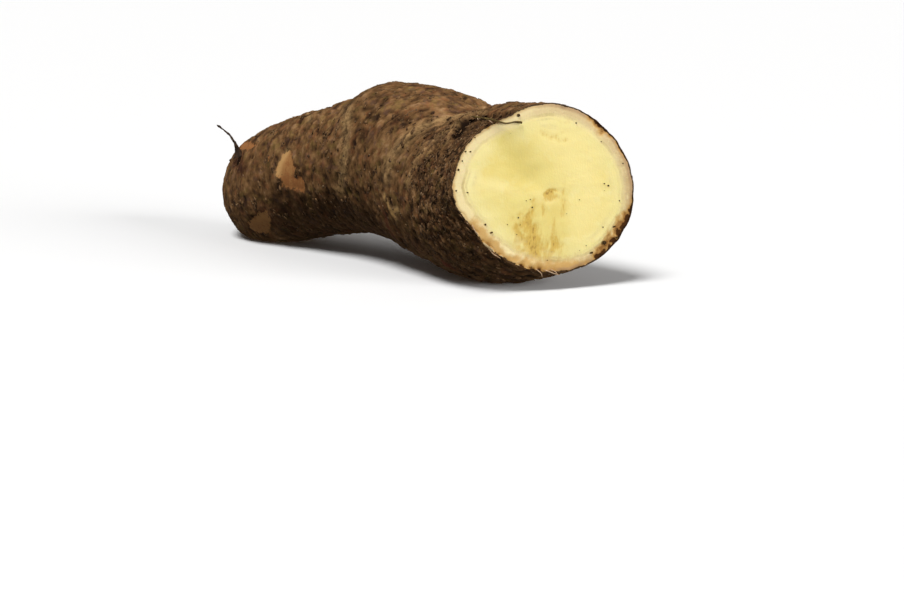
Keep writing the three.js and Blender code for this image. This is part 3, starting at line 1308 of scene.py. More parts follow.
@dataclass(frozen=True)
class SliceFinish:
    """Moist pale yellow flesh inside a whitish ring of inner peel and a thin dark line of bark.

    Attributes:
        ring_width: How wide the ring of inner peel is.
        seams: The fine seams in the ring: how far in each lies, how narrow it is and how strong.
    """

    flesh: Colour = (0.865, 0.725, 0.262)
    warm: Colour = (0.825, 0.665, 0.215)
    shaded: Colour = (0.75, 0.61, 0.185)
    bright: Colour = (0.895, 0.79, 0.36)
    lemon_highlight: Colour = (0.965, 0.815, 0.345)
    cream: Colour = (0.88, 0.725, 0.385)
    dull: Colour = (0.745, 0.57, 0.295)
    drab: Colour = (0.62, 0.455, 0.222)
    halo: Colour = (0.96, 0.85, 0.43)
    fawn: Colour = (0.62, 0.36, 0.105)
    seam: Colour = (0.58, 0.46, 0.20)
    inner_bark: Colour = (0.40, 0.235, 0.125)
    worn: Colour = (0.62, 0.40, 0.17)
    bark: Colour = (0.03, 0.014, 0.006)
    amber: Colour = (0.66, 0.43, 0.085)
    brown: Colour = (0.22, 0.082, 0.016)
    soot: Colour = (0.040, 0.0125, 0.003)
    ring_width: float = 4.6
    seams: tuple[Spot, ...] = ((4.4, 1.3, 0.5), (5.9, 1.6, 0.15), (8.8, 0.8, 0.06))

    def material(self) -> bpy.types.Material:
        """The slice's material.

        Returns:
            The material.
        """
        b = Bench("slice")
        cut = b.read("cut", vector=True)
        threads = b.noise(b.stretch(cut, (1.6, 0.35, 1.0)), detail=3.0)
        noise = SliceNoise(cut, b.noise(cut, 1.1, 4.0, 0.6), b.noise(cut, 0.07, 3.0), threads)
        colour = self._flesh(b, noise)
        colour = self._ring(b, noise, colour)
        colour = self._crust(b, noise, colour)
        height = noise.fine * 0.5 + threads * 0.35 + b.noise(cut, 3.0, 3.0) * 0.2
        normal = b.bump(height, 0.16 * MM, 0.8)
        roughness = 0.55 + noise.fine * 0.2 + b.read("crust") * 0.4
        return b.finish(
            colour, roughness, normal, Specular_IOR_Level=0.08, Subsurface_Weight=0.12,
            Subsurface_Radius=(1.0, 0.7, 0.3), Subsurface_Scale=1.6 * MM,
        )

    def _flesh(self, b: Bench, noise: SliceNoise) -> Wire:
        """The flesh's colour, with its stained fibres, its painted shade and its painted highlights.

        Args:
            b: The bench.
            noise: The shared noise.

        Returns:
            The colour.
        """
        cut, fine, broad = noise.cut, noise.fine, noise.broad
        shade = b.read("shade")
        colour = b.blend((broad * 3.0 + 0.5).rise(0.2, 0.9), self.flesh, self.warm)
        colour = b.blend(b.noise(cut, 0.13, 4.0).rise(0.02, 0.2) * 0.7, colour, self.bright)
        colour = b.blend((b.read("inset") + broad * 12.0).rise(14.0, 5.0) * 0.55, colour, self.bright)
        # Painted highlight along the knife's ridges.
        colour = b.blend(shade * -2.4, colour, self.lemon_highlight)
        # Painted shade in the hollow and in the low patch.
        colour = b.blend(shade * (0.95 + fine), colour, self.shaded)
        amber = b.read("amber") * (1.0 + noise.threads * 2.2 + fine * 0.8)
        colour = b.blend(amber.rise(0.05, 0.8) * 0.85, colour, self.amber)
        colour = b.blend(amber.rise(0.95, 1.6) * 0.55, colour, self.brown)
        dots = b.cells(cut, 0.55).rise(0.13, 0.05) * b.noise(cut, 0.3, 2.0).rise(0.05, 0.2)
        return b.blend(dots * 0.45, colour, self.amber)

    def _ring(self, b: Bench, noise: SliceNoise, colour: Wire) -> Wire:
        """Lays the ring of inner peel over the flesh: cream on one side, duller on the other.

        Args:
            b: The bench.
            noise: The shared noise.
            colour: The flesh's colour.

        Returns:
            The colour with the ring.
        """
        cut, fine, broad = noise.cut, noise.fine, noise.broad
        inset = b.read("inset") + b.noise(cut, 0.16, 3.0) * 1.3
        across, up = b.part(cut, "X"), b.part(cut, "Y")
        side = (across + broad * 25.0).rise(-15.0, 6.0)
        ring = b.blend(side, self.cream, self.dull)
        ring = b.blend((across - up * 0.5 + broad * 20.0).rise(14.0, 32.0), ring, self.drab)
        ring = b.blend((inset + fine * 1.5).rise(2.4, 4.4) * side * 0.6, ring, self.cream)
        ring = b.blend(b.noise(cut, 0.3, 3.0, 0.6).rise(0.0, 0.18) * 0.45, ring, self.cream)
        ring = b.blend(fine.rise(0.04, 0.3) * (0.18 + side * 0.25), ring, self.inner_bark)
        ring = b.blend(b.noise(cut, 0.55, 4.0, 0.7).rise(-0.02, -0.2) * 0.35, ring, self.halo)
        halo = inset.rise(4.0, 6.5) * inset.rise(11.5, 7.5) * (1.0 - b.read("tan"))
        colour = b.blend(halo * (0.35 - side * 0.22 + broad * 3.5 + fine * 0.6), colour, self.halo)
        colour = b.blend((self.ring_width + fine * 2.2 - inset).rise(-2.0, 1.5), colour, ring)
        for place, width, strength in self.seams:
            gap = (inset - place) * width
            line = (1.0 - gap * gap).rise(0.0, 1.0)
            faint = strength * (0.45 + side * 0.55) + broad * 0.8 + fine * 0.4
            colour = b.blend(line * faint * (1.0 + broad * 6.0), colour, self.seam)
        tan = (b.read("tan") + fine * 0.5).rise(0.15, 0.9)
        colour = b.blend(tan * 0.85, colour, self.fawn)
        rim = b.read("inset") + fine * 1.4
        worn = b.blend(side, self.worn, self.inner_bark)
        return b.blend((1.3 + side * 0.5 - rim).rise(-0.5, 0.8) * 0.7, colour, worn)

    def _crust(self, b: Bench, noise: SliceNoise, colour: Wire) -> Wire:
        """Lays the dry brown edge and the dark line of bark over the ring.

        Args:
            b: The bench.
            noise: The shared noise.
            colour: The ring's colour.

        Returns:
            The colour with the crust.
        """
        blotch = b.noise(noise.cut, 0.5, 4.0, 0.65)
        crust = b.read("crust") * (1.0 + noise.fine * 0.9 + blotch * 1.1)
        inset = b.read("inset")
        sooty = crust * 1.5 - inset * 0.5 + blotch * 0.8
        colour = b.blend(crust.rise(0.05, 0.55) * 0.85, colour, self.fawn)
        colour = b.blend((crust - inset * 0.08).rise(0.12, 0.95) * 0.8, colour, self.brown)
        colour = b.blend(sooty.rise(0.55, 1.1) * 0.9, colour, self.soot)
        edge = inset + blotch * 1.4 + b.read("bare").rise(-0.35, 0.1) * 2.0
        return b.blend((0.5 - edge).rise(-0.15, 0.2) * 0.95, colour, self.bark)


@dataclass(frozen=True)
class FibreFinish:
    """Thin dry root or soil: a brown that varies over it.

    Attributes:
        deep: Its darker colour.
        light: Its lighter colour.
        scale: How fine its mottle is, in forms to a metre.
        roughness: How matt it is.
    """

    name: str
    deep: Colour
    light: Colour
    scale: float = 900.0
    roughness: float = 0.8

    def material(self) -> bpy.types.Material:
        """The fibre's material.

        Returns:
            The material.
        """
        b = Bench(self.name)
        place = b.object_place()
        mottle = b.noise(place, self.scale, 4.0, 0.6)
        colour = b.blend((mottle + 0.5).rise(0.3, 0.75), self.deep, self.light)
        normal = b.bump(b.noise(place, self.scale * 2.5, 3.0), 0.15 * MM, 0.8)
        return b.finish(colour, self.roughness + mottle * 0.2, normal, Specular_IOR_Level=0.12)


@dataclass(frozen=True)
class FloorFinish:
    """A plain pale floor."""

    colour: Colour = (0.91, 0.91, 0.91)
    roughness: float = 0.75

    def material(self) -> bpy.types.Material:
        """The floor's material."""
        return Bench("floor").finish(self.colour, self.roughness, None, Specular_IOR_Level=0.2)


# The root's own mesh


@dataclass
class Root:
    """The sliced root in one closed mesh: bark, slice and the rounded tail.

    Attributes:
        skin: The skin as the solid has it.
        bark: The relief that moves it.
        off: What the masks that measure a distance say well away from what they measure.
    """

    skin: Skin
    bark: Bark
    bark_finish: BarkFinish = BarkFinish()
    slice_finish: SliceFinish = SliceFinish()
    off: float = -9.0

    def build(self) -> bpy.types.Object:
        """Makes the mesh with everything its materials read.

        Returns:
            The root's object, dressed.
        """
        skin = self.skin
        self.moved = skin.points + self.bark.rise[..., None] * skin.outward
        self.moved[..., 2] = np.maximum(self.moved[..., 2], 0.0)
        self.cut = Slice(skin, self.moved[-1])
        rings = np.concatenate([self.moved, self.cut.points])
        points = np.concatenate([skin.pole[None], rings.reshape(-1, 3), self.cut.centre[None]])
        points[:, 2] = np.maximum(points[:, 2], 0.0)
        mesh = bpy.data.meshes.new("cassava_root_skin")
        mesh.from_pydata((points * MM).tolist(), [], self._faces(len(rings)))
        mesh.update()
        mesh.shade_smooth()
        self._attributes(mesh)
        made = put_in("cassava_root_grown", mesh)
        self._dress(mesh)
        return made

    def _faces(self, rings: int) -> list[tuple[int, ...]]:
        """The faces between the tail's pole, the rings and the slice's middle.

        Args:
            rings: How many rings there are.

        Returns:
            The corners of each face.
        """
        sides = self.skin.sides
        ring = [1 + i * sides for i in range(rings)]
        last = 1 + rings * sides
        turn = [(j, (j + 1) % sides) for j in range(sides)]
        faces: list[tuple[int, ...]] = [(0, ring[0] + k, ring[0] + j) for j, k in turn]
        for low, high in zip(ring, ring[1:]):
            faces += [(low + j, low + k, high + k, high + j) for j, k in turn]
        faces += [(ring[-1] + j, ring[-1] + k, last) for j, k in turn]
        return faces

    def _dress(self, mesh: bpy.types.Mesh) -> None:
        """Gives the mesh its two materials.

        Args:
            mesh: The root's mesh.
        """
        mesh.materials.append(self.bark_finish.material())
        mesh.materials.append(self.slice_finish.material())
        kinds = np.full(len(mesh.polygons), Dressing.SLICE.value, np.int32)
        kinds[: self.moved.shape[0] * self.moved.shape[1]] = Dressing.BARK.value
        mesh.polygons.foreach_set("material_index", kinds)

    def _attributes(self, mesh: bpy.types.Mesh) -> None:
        """Writes what the materials and the small things read, for the bark and for the slice.

        Args:
            mesh: The root's mesh.
        """
        skin, bark, cut = self.skin, self.bark, self.cut
        masks = {
            "rise": bark.fine_rise, "rough": bark.rough, "peel_tone": bark.peel_tone, "pale": bark.pale,
            "dark": bark.dark, "red": bark.red, "flaky": bark.flaky, "soiled": bark.soiled,
        }
        for name, values in masks.items():
            self._write(mesh, name, values, np.zeros(cut.inset.shape), 0.0)
        self._write(mesh, "peel", bark.peel, np.full(cut.inset.shape, self.off), self.off)
        self._write(mesh, "bare", bark.bare, np.tile(bark.bare[-1], (len(cut.inset), 1)), self.off)
        drawn = {"amber": cut.amber, "shade": cut.shade, "crust": cut.crust, "tan": cut.tan}
        for name, values in drawn.items():
            edge = np.zeros(bark.rise.shape)
            edge[-1] = values[0]
            self._write(mesh, name, edge, values, values[-1].mean())
        self._write(mesh, "inset", -skin.to_rim, cut.inset, cut.inset[-1].mean())
        edge = np.zeros(skin.points.shape)
        edge[-1] = cut.flat(self.moved[-1])
        self._write(mesh, "cut", edge, cut.cut, cut.centre_cut)
        around = unit(np.roll(self.moved, -1, axis=1) - np.roll(self.moved, 1, axis=1))
        ways = {"grain": bark.grain, "skin": skin.points, "up": skin.outward, "around": around}
        for name, values in ways.items():
            self._write(mesh, name, values, np.zeros(cut.cut.shape), np.zeros(3))

    @staticmethod
    def _write(mesh: bpy.types.Mesh, name: str, bark: Array, cut: Array, middle: Any) -> None:
        """Writes one number or one vector for each point.

        Args:
            mesh: The root's mesh.
            name: What the values are called.
            bark: Those on the bark, whose first ring also gives the tail's pole its own.
            cut: Those on the slice.
            middle: The one at the slice's middle.
        """
        own = bark.shape[2:]
        ends = bark[0].mean(0)[None], np.array(middle)[None]
        parts = [ends[0], bark.reshape(-1, *own), cut.reshape(-1, *own), ends[1]]
        write_points(mesh, name, np.concatenate(parts))


# Small things that grow from the bark or lie on it


class Loom(Tree):
    """Where one tree of geometry nodes is put together."""

    def __init__(self, name: str) -> None:
        """Starts a tree that takes a mesh.

        Args:
            name: The tree's name.
        """
        self.group = bpy.data.node_groups.new(name, "GeometryNodeTree")
        super().__init__(self.group)
        self.group.interface.new_socket("Mesh", in_out="INPUT", socket_type="NodeSocketGeometry")
        self.group.interface.new_socket("Mesh", in_out="OUTPUT", socket_type="NodeSocketGeometry")
        self.entries = self.nodes.new("NodeGroupInput")
        self.labels: dict[str, str] = {}

    def mesh(self) -> Wire:
        """The mesh that the tree is given."""
        return Wire(self, self.entries.outputs[0])

    def entry(self, label: str, kind: str = "NodeSocketFloat") -> Wire:
        """Adds a named input, a size or a seed.

        Args:
            label: The input's name.
            kind: The type of its socket.

        Returns:
            What the input is set to.
        """
        made = self.group.interface.new_socket(label, in_out="INPUT", socket_type=kind)
        self.labels[label] = made.identifier
        return Wire(self, self.entries.outputs[len(self.labels)])

    def read(self, name: str, kind: str = "FLOAT") -> Wire:
        """Reads one of the mesh's own attributes."""
        return self.add("GeometryNodeInputNamedAttribute", {"data_type": kind}, {"Name": name})

    def random(self, low: Any, high: Any, seed: Any) -> Wire:
        """A random number for each point, between low and high."""
        sockets = {2: low, 3: high, "Seed": seed}
        return self.add("FunctionNodeRandomValue", {"data_type": "FLOAT"}, sockets, 1)

    def roughened(self, geometry: Wire, amount: Any, scale: float) -> Wire:
        """Pushes a surface in and out by noise.

        Args:
            geometry: The surface.
            amount: How far, from the lowest place to the highest, in metres.
            scale: How fine the noise is, in forms to a metre.

        Returns:
            The rough surface.
        """
        place = self.add("GeometryNodeInputPosition", {}, {})
        noise = self.add("ShaderNodeTexNoise", {}, {"Vector": place, "Scale": scale, "Detail": 2.0})
        normal = self.add("GeometryNodeInputNormal", {}, {})
        push = {0: normal, "Scale": (noise - 0.5) * amount}
        offset = self.add("ShaderNodeVectorMath", {"operation": "SCALE"}, push)
        return self.add("GeometryNodeSetPosition", {}, {"Geometry": geometry, "Offset": offset})

    def close(self, geometry: Wire, material: bpy.types.Material) -> None:
        """Ends the tree in real, dressed faces.

        Args:
            geometry: The finished surface.
            material: Its look.
        """
        real = self.add("GeometryNodeRealizeInstances", {}, {0: geometry})
        dressed = self.add("GeometryNodeSetMaterial", {}, {0: real, "Material": material})
        self.node("NodeGroupOutput", {}, {0: dressed})

    def grow(self, name: str, source: bpy.types.Mesh, values: dict[str, Any]) -> bpy.types.Object:
        """Runs the tree on a mesh.

        Args:
            name: The new piece's name.
            source: The mesh that it grows from.
            values: What each named input is set to.

        Returns:
            The new piece, as a plain mesh.
        """
        carrier = put_in(name + "_seed", source)
        modifier = carrier.modifiers.new("grow", "NODES")
        modifier.node_group = self.group
        for label, value in values.items():
            modifier[self.labels[label]] = value
        graph = bpy.context.evaluated_depsgraph_get()
        mesh = bpy.data.meshes.new_from_object(carrier.evaluated_get(graph))
        carrier.modifiers.clear()
        bpy.data.objects.remove(carrier)
        mesh.name = name
        mesh.shade_smooth()
        return put_in(name, mesh)


@dataclass
class Crumbs:
    """Small lumps: flakes of bark and grains of soil.

    Attributes:
        shape: Each lump's proportions along, across and up.
        bed: Where they lie.
        density: How many lie on a square millimetre at most, where they are strewn.
        lumpy: How rough they are, as a share of the largest radius.
        spread: Between which shares the sides of each vary.
        spin: How far each turns on the surface, in radians.
        tip: How far each tips out of it, in radians.
        bumps: How many bumps lie along the largest radius.
    """

    name: str
    material: bpy.types.Material
    smallest: float
    largest: float
    shape: Spot = (1.0, 1.0, 1.0)
    bed: Bed = Bed.POINTS
    density: float = 0.0
    detail: int = 1
    lumpy: float = 0.5
    seed: int = 1
    spread: tuple[float, float] = (0.7, 1.3)
    spin: float = 0.6
    tip: float = 0.3
    bumps: float = 1.2

    def build(self, source: bpy.types.Mesh) -> bpy.types.Object:
        """Makes the crumbs.

        Args:
            source: The mesh that they lie on, or whose points they are set at.

        Returns:
            The crumbs as one piece.
        """
        loom = Loom(self.name)
        low, high = loom.entry("Smallest"), loom.entry("Largest")
        density = loom.entry("Density")
        seed = loom.entry("Seed", "NodeSocketInt")
        if self.bed is Bed.POINTS:
            points = loom.add("GeometryNodeMeshToPoints", {}, {0: loom.mesh()})
            size = loom.read("size")
        else:
            strewn = {"Mesh": loom.mesh(), "Density": loom.read(self.bed.value) * density, "Seed": seed}
            points = loom.add("GeometryNodeDistributePointsOnFaces", {}, strewn)
            size = loom.random(0.0, 1.0, seed)
            size = low + size * size * (high - low)
        varied = [loom.random(*self.spread, seed + 3 + k) for k in range(3)]
        sides = [size * share * one for share, one in zip(self.shape, varied)]
        ball = loom.add("GeometryNodeMeshIcoSphere", {}, {"Radius": 1.0, "Subdivisions": self.detail})
        sockets = {
            "Points": points, "Instance": ball, "Rotation": self._lie(loom, seed),
            "Scale": loom.add("ShaderNodeCombineXYZ", {}, dict(enumerate(sides))),
        }
        lumps = loom.add("GeometryNodeInstanceOnPoints", {}, sockets)
        real = loom.add("GeometryNodeRealizeInstances", {}, {0: lumps})
        rough = loom.roughened(real, high * self.lumpy, self.bumps / (self.largest * MM))
        loom.close(rough, self.material)
        values = {
            "Smallest": self.smallest * MM, "Largest": self.largest * MM,
            "Density": self.density / MM**2, "Seed": self.seed,
        }
        return loom.grow(self.name, source, values)

    def _lie(self, loom: Loom, seed: Wire) -> Wire:
        """How each lump lies: flat on the surface and along the root, a little turned and tipped.

        Args:
            loom: Where the tree is put together.
            seed: The tree's seed.

        Returns:
            The rotation.
        """
        up = {"Vector": loom.read("up", "FLOAT_VECTOR")}
        lie = loom.add("FunctionNodeAlignRotationToVector", {"axis": "Z"}, up)
        around = {"Rotation": lie, "Vector": loom.read("around", "FLOAT_VECTOR")}
        lie = loom.add("FunctionNodeAlignRotationToVector", {"axis": "X", "pivot_axis": "Z"}, around)
        for k, (axis, reach) in enumerate((((0.0, 0.0, 1.0), self.spin), ((0.6, 0.8, 0.0), self.tip)), 1):
            turn = {"Axis": axis, "Angle": loom.random(-reach, reach, seed + k)}
            extra = loom.add("FunctionNodeAxisAngleToRotation", {}, turn)
            sockets = {"Rotation": lie, "Rotate By": extra}
            lie = loom.add("FunctionNodeRotateRotation", {"rotation_space": "LOCAL"}, sockets)
        return lie


@dataclass
class Threads:
    """Thin fibres that follow paths.

    Attributes:
        lumpy: How rough the fibres are, as a share of their mean radius.
        bumps: How many bumps lie along the mean radius.
    """

    name: str
    material: bpy.types.Material
    facets: int = 8
    lumpy: float = 0.48
    bumps: float = 0.5

    def build(self, paths: list[Array], thickness: list[Array]) -> bpy.types.Object:
        """Makes a tube along every path.

        Args:
            paths: Each path's points, in millimetres.
            thickness: The radius at each of those points, in millimetres.

        Returns:
            The fibres as one piece.
        """
        points, edges, start = [], [], 0
        for path in paths:
            points.append(path * MM)
            edges += [(start + k, start + k + 1) for k in range(len(path) - 1)]
            start += len(path)
        mesh = bpy.data.meshes.new(self.name + "_paths")
        mesh.from_pydata(np.concatenate(points).tolist(), edges, [])
        radii = (np.concatenate(thickness) * MM).astype(np.float32)
        write_points(mesh, "thick", radii)
        loom = Loom(self.name)
        facets = loom.entry("Facets", "NodeSocketInt")
        lumpy = loom.entry("Lumpiness")
        line = loom.add("GeometryNodeMeshToCurve", {}, {0: loom.mesh()})
        ring = loom.add("GeometryNodeCurvePrimitiveCircle", {}, {"Resolution": facets, "Radius": 1.0})
        sockets = {"Curve": line, "Profile Curve": ring, "Scale": loom.read("thick"), "Fill Caps": True}
        tube = loom.add("GeometryNodeCurveToMesh", {}, sockets)
        mean = float(radii.mean())
        loom.close(loom.roughened(tube, lumpy, self.bumps / mean), self.material)
        return loom.grow(self.name, mesh, {"Facets": self.facets, "Lumpiness": self.lumpy * mean})


@dataclass
class Rootlet:
    """The thin rootlet on the tail, along the spike that the solid has there.

    Attributes:
        clear: How far out of the skin the solid's points are the rootlet's.
        reach: How far from the tail's end they are looked for.
        bins: How many middles the rootlet's line runs through.
        buried: How far its foot goes into the root.
        base_radius: How much thicker it is at its foot.
        knuckles: The knuckles: how far along each is, its length as a share, and its height.
    """

    root: Root
    clear: float = 0.55
    reach: float = 20.0
    bins: int = 9
    buried: float = 2.2
    base_radius: float = 2.3
    base_fade: float = 9.0
    neck_radius: float = 0.62
    tip_radius: float = 0.16
    knuckles: tuple[Spot, ...] = ((0.82, 0.05, 0.25), (0.55, 0.03, 0.125))
    count: int = 70
    facets: int = 14
    lumpy: float = 0.88
    finish: FibreFinish = FibreFinish("rootlet", (0.012, 0.007, 0.004), (0.075, 0.04, 0.021), 700.0)

    def build(self) -> bpy.types.Object:
        """Makes the rootlet.

        Returns:
            The rootlet's object, dressed.
        """
        spike = self._spike()
        order = np.argsort(spike[:, 2])
        groups = np.array_split(spike[order], self.bins)
        middle = np.array([g.mean(0) for g in groups])
        inward = unit(middle[0] - middle[1]) * self.buried
        line = flowing(np.concatenate([[middle[0] + inward], middle, [spike[order][-1]]]), self.count)
        share = np.linspace(0.0, 1.0, self.count)
        flare = self.base_radius * np.exp(-share * self.base_fade)
        shaft = self.neck_radius + (self.tip_radius - self.neck_radius) * share
        knuckles = sum(height * bell(share - place, width) for place, width, height in self.knuckles)
        threads = Threads("rootlet", self.finish.material(), self.facets, self.lumpy)
        return threads.build([line], [flare + shaft + knuckles])

    def _spike(self) -> Array:
        """The solid's points that stand clear of the skin.

        Returns:
            The points.
        """
        skin = self.root.skin
        rings = skin.fan_rings + int(self.reach / skin.step)
        grid = skin.points[:rings].reshape(-1, 3)
        ways = skin.outward[:rings].reshape(-1, 3)
        tail = skin.corners[skin.corners[:, 0] < skin.line[0][0] + self.reach]
        found = []
        for corner in np.unique(tail.round(4), axis=0):
            near = np.linalg.norm(grid - corner, axis=1).argmin()
            out = (corner - grid[near]) @ ways[near]
            if out > self.clear:
                found.append(corner)
        return np.array(found)


@dataclass
class Trimmings:
    """Everything small: flakes, grains of soil, fine fibres and the thread on the slice.

    Attributes:
        specks: The specks on the slice: across, up and radius.
        speck_size: How much larger they are made, since most of each is sunk.
        speck_lift: How far each one's middle stands out, as a share of its radius.
        thread: The path of the thread on the slice: across, up and out.
        thread_radius: The thread's mean radius.
        thread_wave: How much its radius comes and goes, and how often.
        thread_end: How much thicker its right end is, and over which share of it.
        rim_fibres: Paths of the torn fibres on the slice's lower edge: across, up and out.
        flap: A torn strip of bark: along the root, degrees around it and out.
        slimmest: A torn fibre's radius at its ends.
        stoutest: How much more it is halfway.
        near: How close to the slice most of the fine fibres start, as a share of the root.
    """

    root: Root
    seed: int = 41
    specks: tuple[Spot, ...] = (
        (-11.9, 28.3, 0.62), (-33.0, 15.6, 0.42), (-31.0, 15.5, 0.42), (-35.7, 9.0, 0.5),
        (-32.1, 0.3, 0.32), (-36.6, 1.2, 0.35), (-24.9, -12.1, 0.42), (-22.5, -15.3, 0.5),
        (-8.4, -3.9, 0.3), (-6.8, -3.6, 0.3), (23.9, -1.7, 0.26), (25.5, 0.1, 0.36), (23.8, 1.0, 0.24),
        (30.3, -5.9, 0.42), (28.4, -15.9, 0.55), (24.3, -21.9, 1.0), (18.9, -25.5, 0.62),
        (-11.6, -10.2, 0.36), (-21.5, 25.7, 0.5), (23.6, -15.8, 0.22), (13.8, -24.3, 0.22),
        (-6.0, -6.6, 0.28), (-10.9, -13.0, 0.2), (-12.2, -16.6, 0.3), (16.6, -22.6, 0.2),
        (8.2, -9.7, 0.2), (13.4, -4.7, 0.18), (-16.0, -12.6, 0.18), (-29.2, 20.6, 0.28),
        (22.2, 17.2, 0.22), (11.6, 24.6, 0.24), (-27.0, 23.4, 0.25), (-15.0, 21.6, 0.2), (31.5, 8.5, 0.2),
        (-12.0, -29.3, 0.35), (-6.0, -29.5, 0.3), (0.5, -27.3, 0.3), (8.8, -32.0, 0.5),
        (-34.2, 12.2, 0.3), (29.5, -20.2, 0.6),
    )
    speck_size: float = 1.55
    speck_lift: float = 0.1
    thread: tuple[Spot, ...] = (
        (-30.5, 28.4, -0.6), (-28.6, 28.2, 0.3), (-26.4, 27.8, 0.6), (-23.8, 27.3, 0.6),
        (-21.4, 26.7, 0.5), (-19.4, 26.1, 0.55), (-17.7, 25.6, 0.7), (-16.0, 25.6, 0.8),
        (-14.2, 25.9, 0.75), (-12.5, 25.9, 0.7), (-10.9, 25.6, 0.65),
    )
    thread_radius: float = 0.34
    thread_wave: tuple[float, float] = (0.06, 9.0)
    thread_end: tuple[float, float] = (0.08, 0.08)
    rim_fibres: tuple[tuple[Spot, ...], ...] = (
        ((-4.4, -30.3, 0.0), (-3.4, -31.2, 0.7), (-2.4, -32.2, 0.9), (-1.9, -33.6, 0.6)),
        ((-1.2, -30.8, 0.0), (0.8, -31.6, 0.8), (3.2, -32.6, 1.0), (5.6, -33.2, 0.5)),
        ((2.0, -31.0, 0.0), (3.4, -31.8, 0.6), (4.6, -33.0, 0.6)),
        ((-23.4, -21.6, 0.0), (-22.0, -23.4, 0.6), (-20.4, -24.4, 0.5), (-18.8, -25.4, 0.1)),
        ((-30.4, -11.6, 0.0), (-29.4, -14.0, 0.4), (-27.8, -15.9, 0.1)),
    )
    flap: tuple[Spot, ...] = (
        (192.8, 111.0, 0.1), (195.5, 114.0, 0.7), (198.5, 116.0, 0.9), (202.5, 118.0, 0.9),
        (207.0, 120.0, 0.7), (212.0, 124.0, 0.5), (217.0, 128.0, 0.3),
    )
    slimmest: float = 0.05
    stoutest: float = 0.15
    fibres: int = 70
    near: float = 0.3
    soil_look: FibreFinish = FibreFinish("soil", (0.022, 0.011, 0.003), (0.115, 0.066, 0.019), 1500.0)
    thread_look: FibreFinish = FibreFinish("thread", (0.045, 0.026, 0.008), (0.17, 0.115, 0.035), 1200.0)
    rim_look: FibreFinish = FibreFinish("rim_fibre", (0.36, 0.22, 0.12), (0.74, 0.54, 0.36), 1000.0)
    flake_look: FibreFinish = FibreFinish(
        "bark_flake", (0.035, 0.016, 0.007), (0.27, 0.15, 0.068), 420.0, 0.9,
    )
    grain_look: FibreFinish = FibreFinish(
        "bark_soil", (0.02, 0.011, 0.006), (0.36, 0.23, 0.125), 500.0, 0.95,
    )
    fibre_look: FibreFinish = FibreFinish(
        "fine_fibres", (0.05, 0.028, 0.014), (0.26, 0.17, 0.085), 300.0, 0.85,
    )

    def on_slice(self) -> list[bpy.types.Object]:
        """The soil specks, the thread and the torn fibres that lie on the slice.

        Returns:
            The pieces.
        """
        specks = self._specks()
        brown, pale = self.thread_look.material(), self.rim_look.material()
        rim = self._rim(pale)
        return [specks, self._thread(brown), rim]

    def on_bark(self, skin_mesh: bpy.types.Mesh) -> list[bpy.types.Object]:
        """The flakes, the soil and the fine fibres on the bark.

        Args:
            skin_mesh: The root's own mesh.

        Returns:
            The pieces.
        """
        flakes = Crumbs(
            "bark_flakes", self.flake_look.material(), smallest=0.4, largest=1.5, shape=(1.25, 0.6, 0.22),
            bed=Bed.FLAKY, density=0.30, seed=self.seed + 10,
        ).build(skin_mesh)
        grains = Crumbs(
            "bark_soil", self.grain_look.material(), smallest=0.16, largest=0.6, shape=(1.0, 0.8, 0.5),
            bed=Bed.SOILED, density=0.2, lumpy=0.6, seed=self.seed + 20,
        ).build(skin_mesh)
        dry = self.fibre_look.material()
        paths, radii = self._fibre_paths()
        fibres = Threads("fine_fibres", dry, facets=5).build(paths, radii)
        return [flakes, grains, fibres]

    def _specks(self) -> bpy.types.Object:
        """The dark specks of soil on the slice.

        Returns:
            The piece.
        """
        spots = np.array(self.specks)
        sizes = self.speck_size * spots[:, 2] * MM
        spots[:, 2] *= self.speck_lift
        mesh = bpy.data.meshes.new("speck_places")
        mesh.from_pydata((self._on_slice(spots) * MM).tolist(), [], [])
        write_points(mesh, "size", sizes)
        for name, way in (("up", self.root.skin.slice_normal), ("around", self.root.cut.across)):
            write_points(mesh, name, np.tile(way, (len(spots), 1)))
        specks = Crumbs(
            "slice_specks", self.soil_look.material(), smallest=0.2, largest=0.9, shape=(0.62, 0.5, 0.3),
            detail=2, seed=self.seed,
        )
        return specks.build(mesh)

    def _thread(self, material: bpy.types.Material) -> bpy.types.Object:
        """The thread that lies across the top of the slice.

        Args:
            material: Its look.

        Returns:
            The piece.
        """
        line = flowing(self._on_slice(np.array(self.thread)), 48)
        share = np.linspace(0.0, 1.0, len(line))
        wave, often = self.thread_wave
        thicker, width = self.thread_end
        radius = self.thread_radius - wave * np.cos(share * often) + thicker * bell(share - 1.0, width)
        return Threads("slice_thread", material).build([line], [radius])

    def _rim(self, material: bpy.types.Material) -> bpy.types.Object:
        """The torn fibres on the slice's lower edge and the torn strip of bark.

        Args:
            material: Their look.

        Returns:
            The piece.
        """
        paths = [flowing(self._on_slice(np.array(path)), 20) for path in self.rim_fibres]
        paths.append(flowing(self._on_skin(np.array(self.flap)), 36))
        halves = [np.sin(math.pi * np.linspace(0.0, 1.0, len(path))) ** 0.5 for path in paths]
        slim = [self.slimmest + self.stoutest * half for half in halves]
        return Threads("rim_fibres", material, facets=6).build(paths, slim)

    def _on_skin(self, spots: Array) -> Array:
        """Puts places on the bark into the frame.

        Args:
            spots: Their places along the root, degrees around it and heights above it.

        Returns:
            The points.
        """
        skin, moved = self.root.skin, self.root.moved
        rings = np.searchsorted(skin.along, spots[:, 0]).clip(0, len(moved) - 1)
        sides = np.round(spots[:, 1] / 360.0 * skin.sides).astype(int) % skin.sides
        return moved[rings, sides] + spots[:, 2:3] * skin.outward[rings, sides]

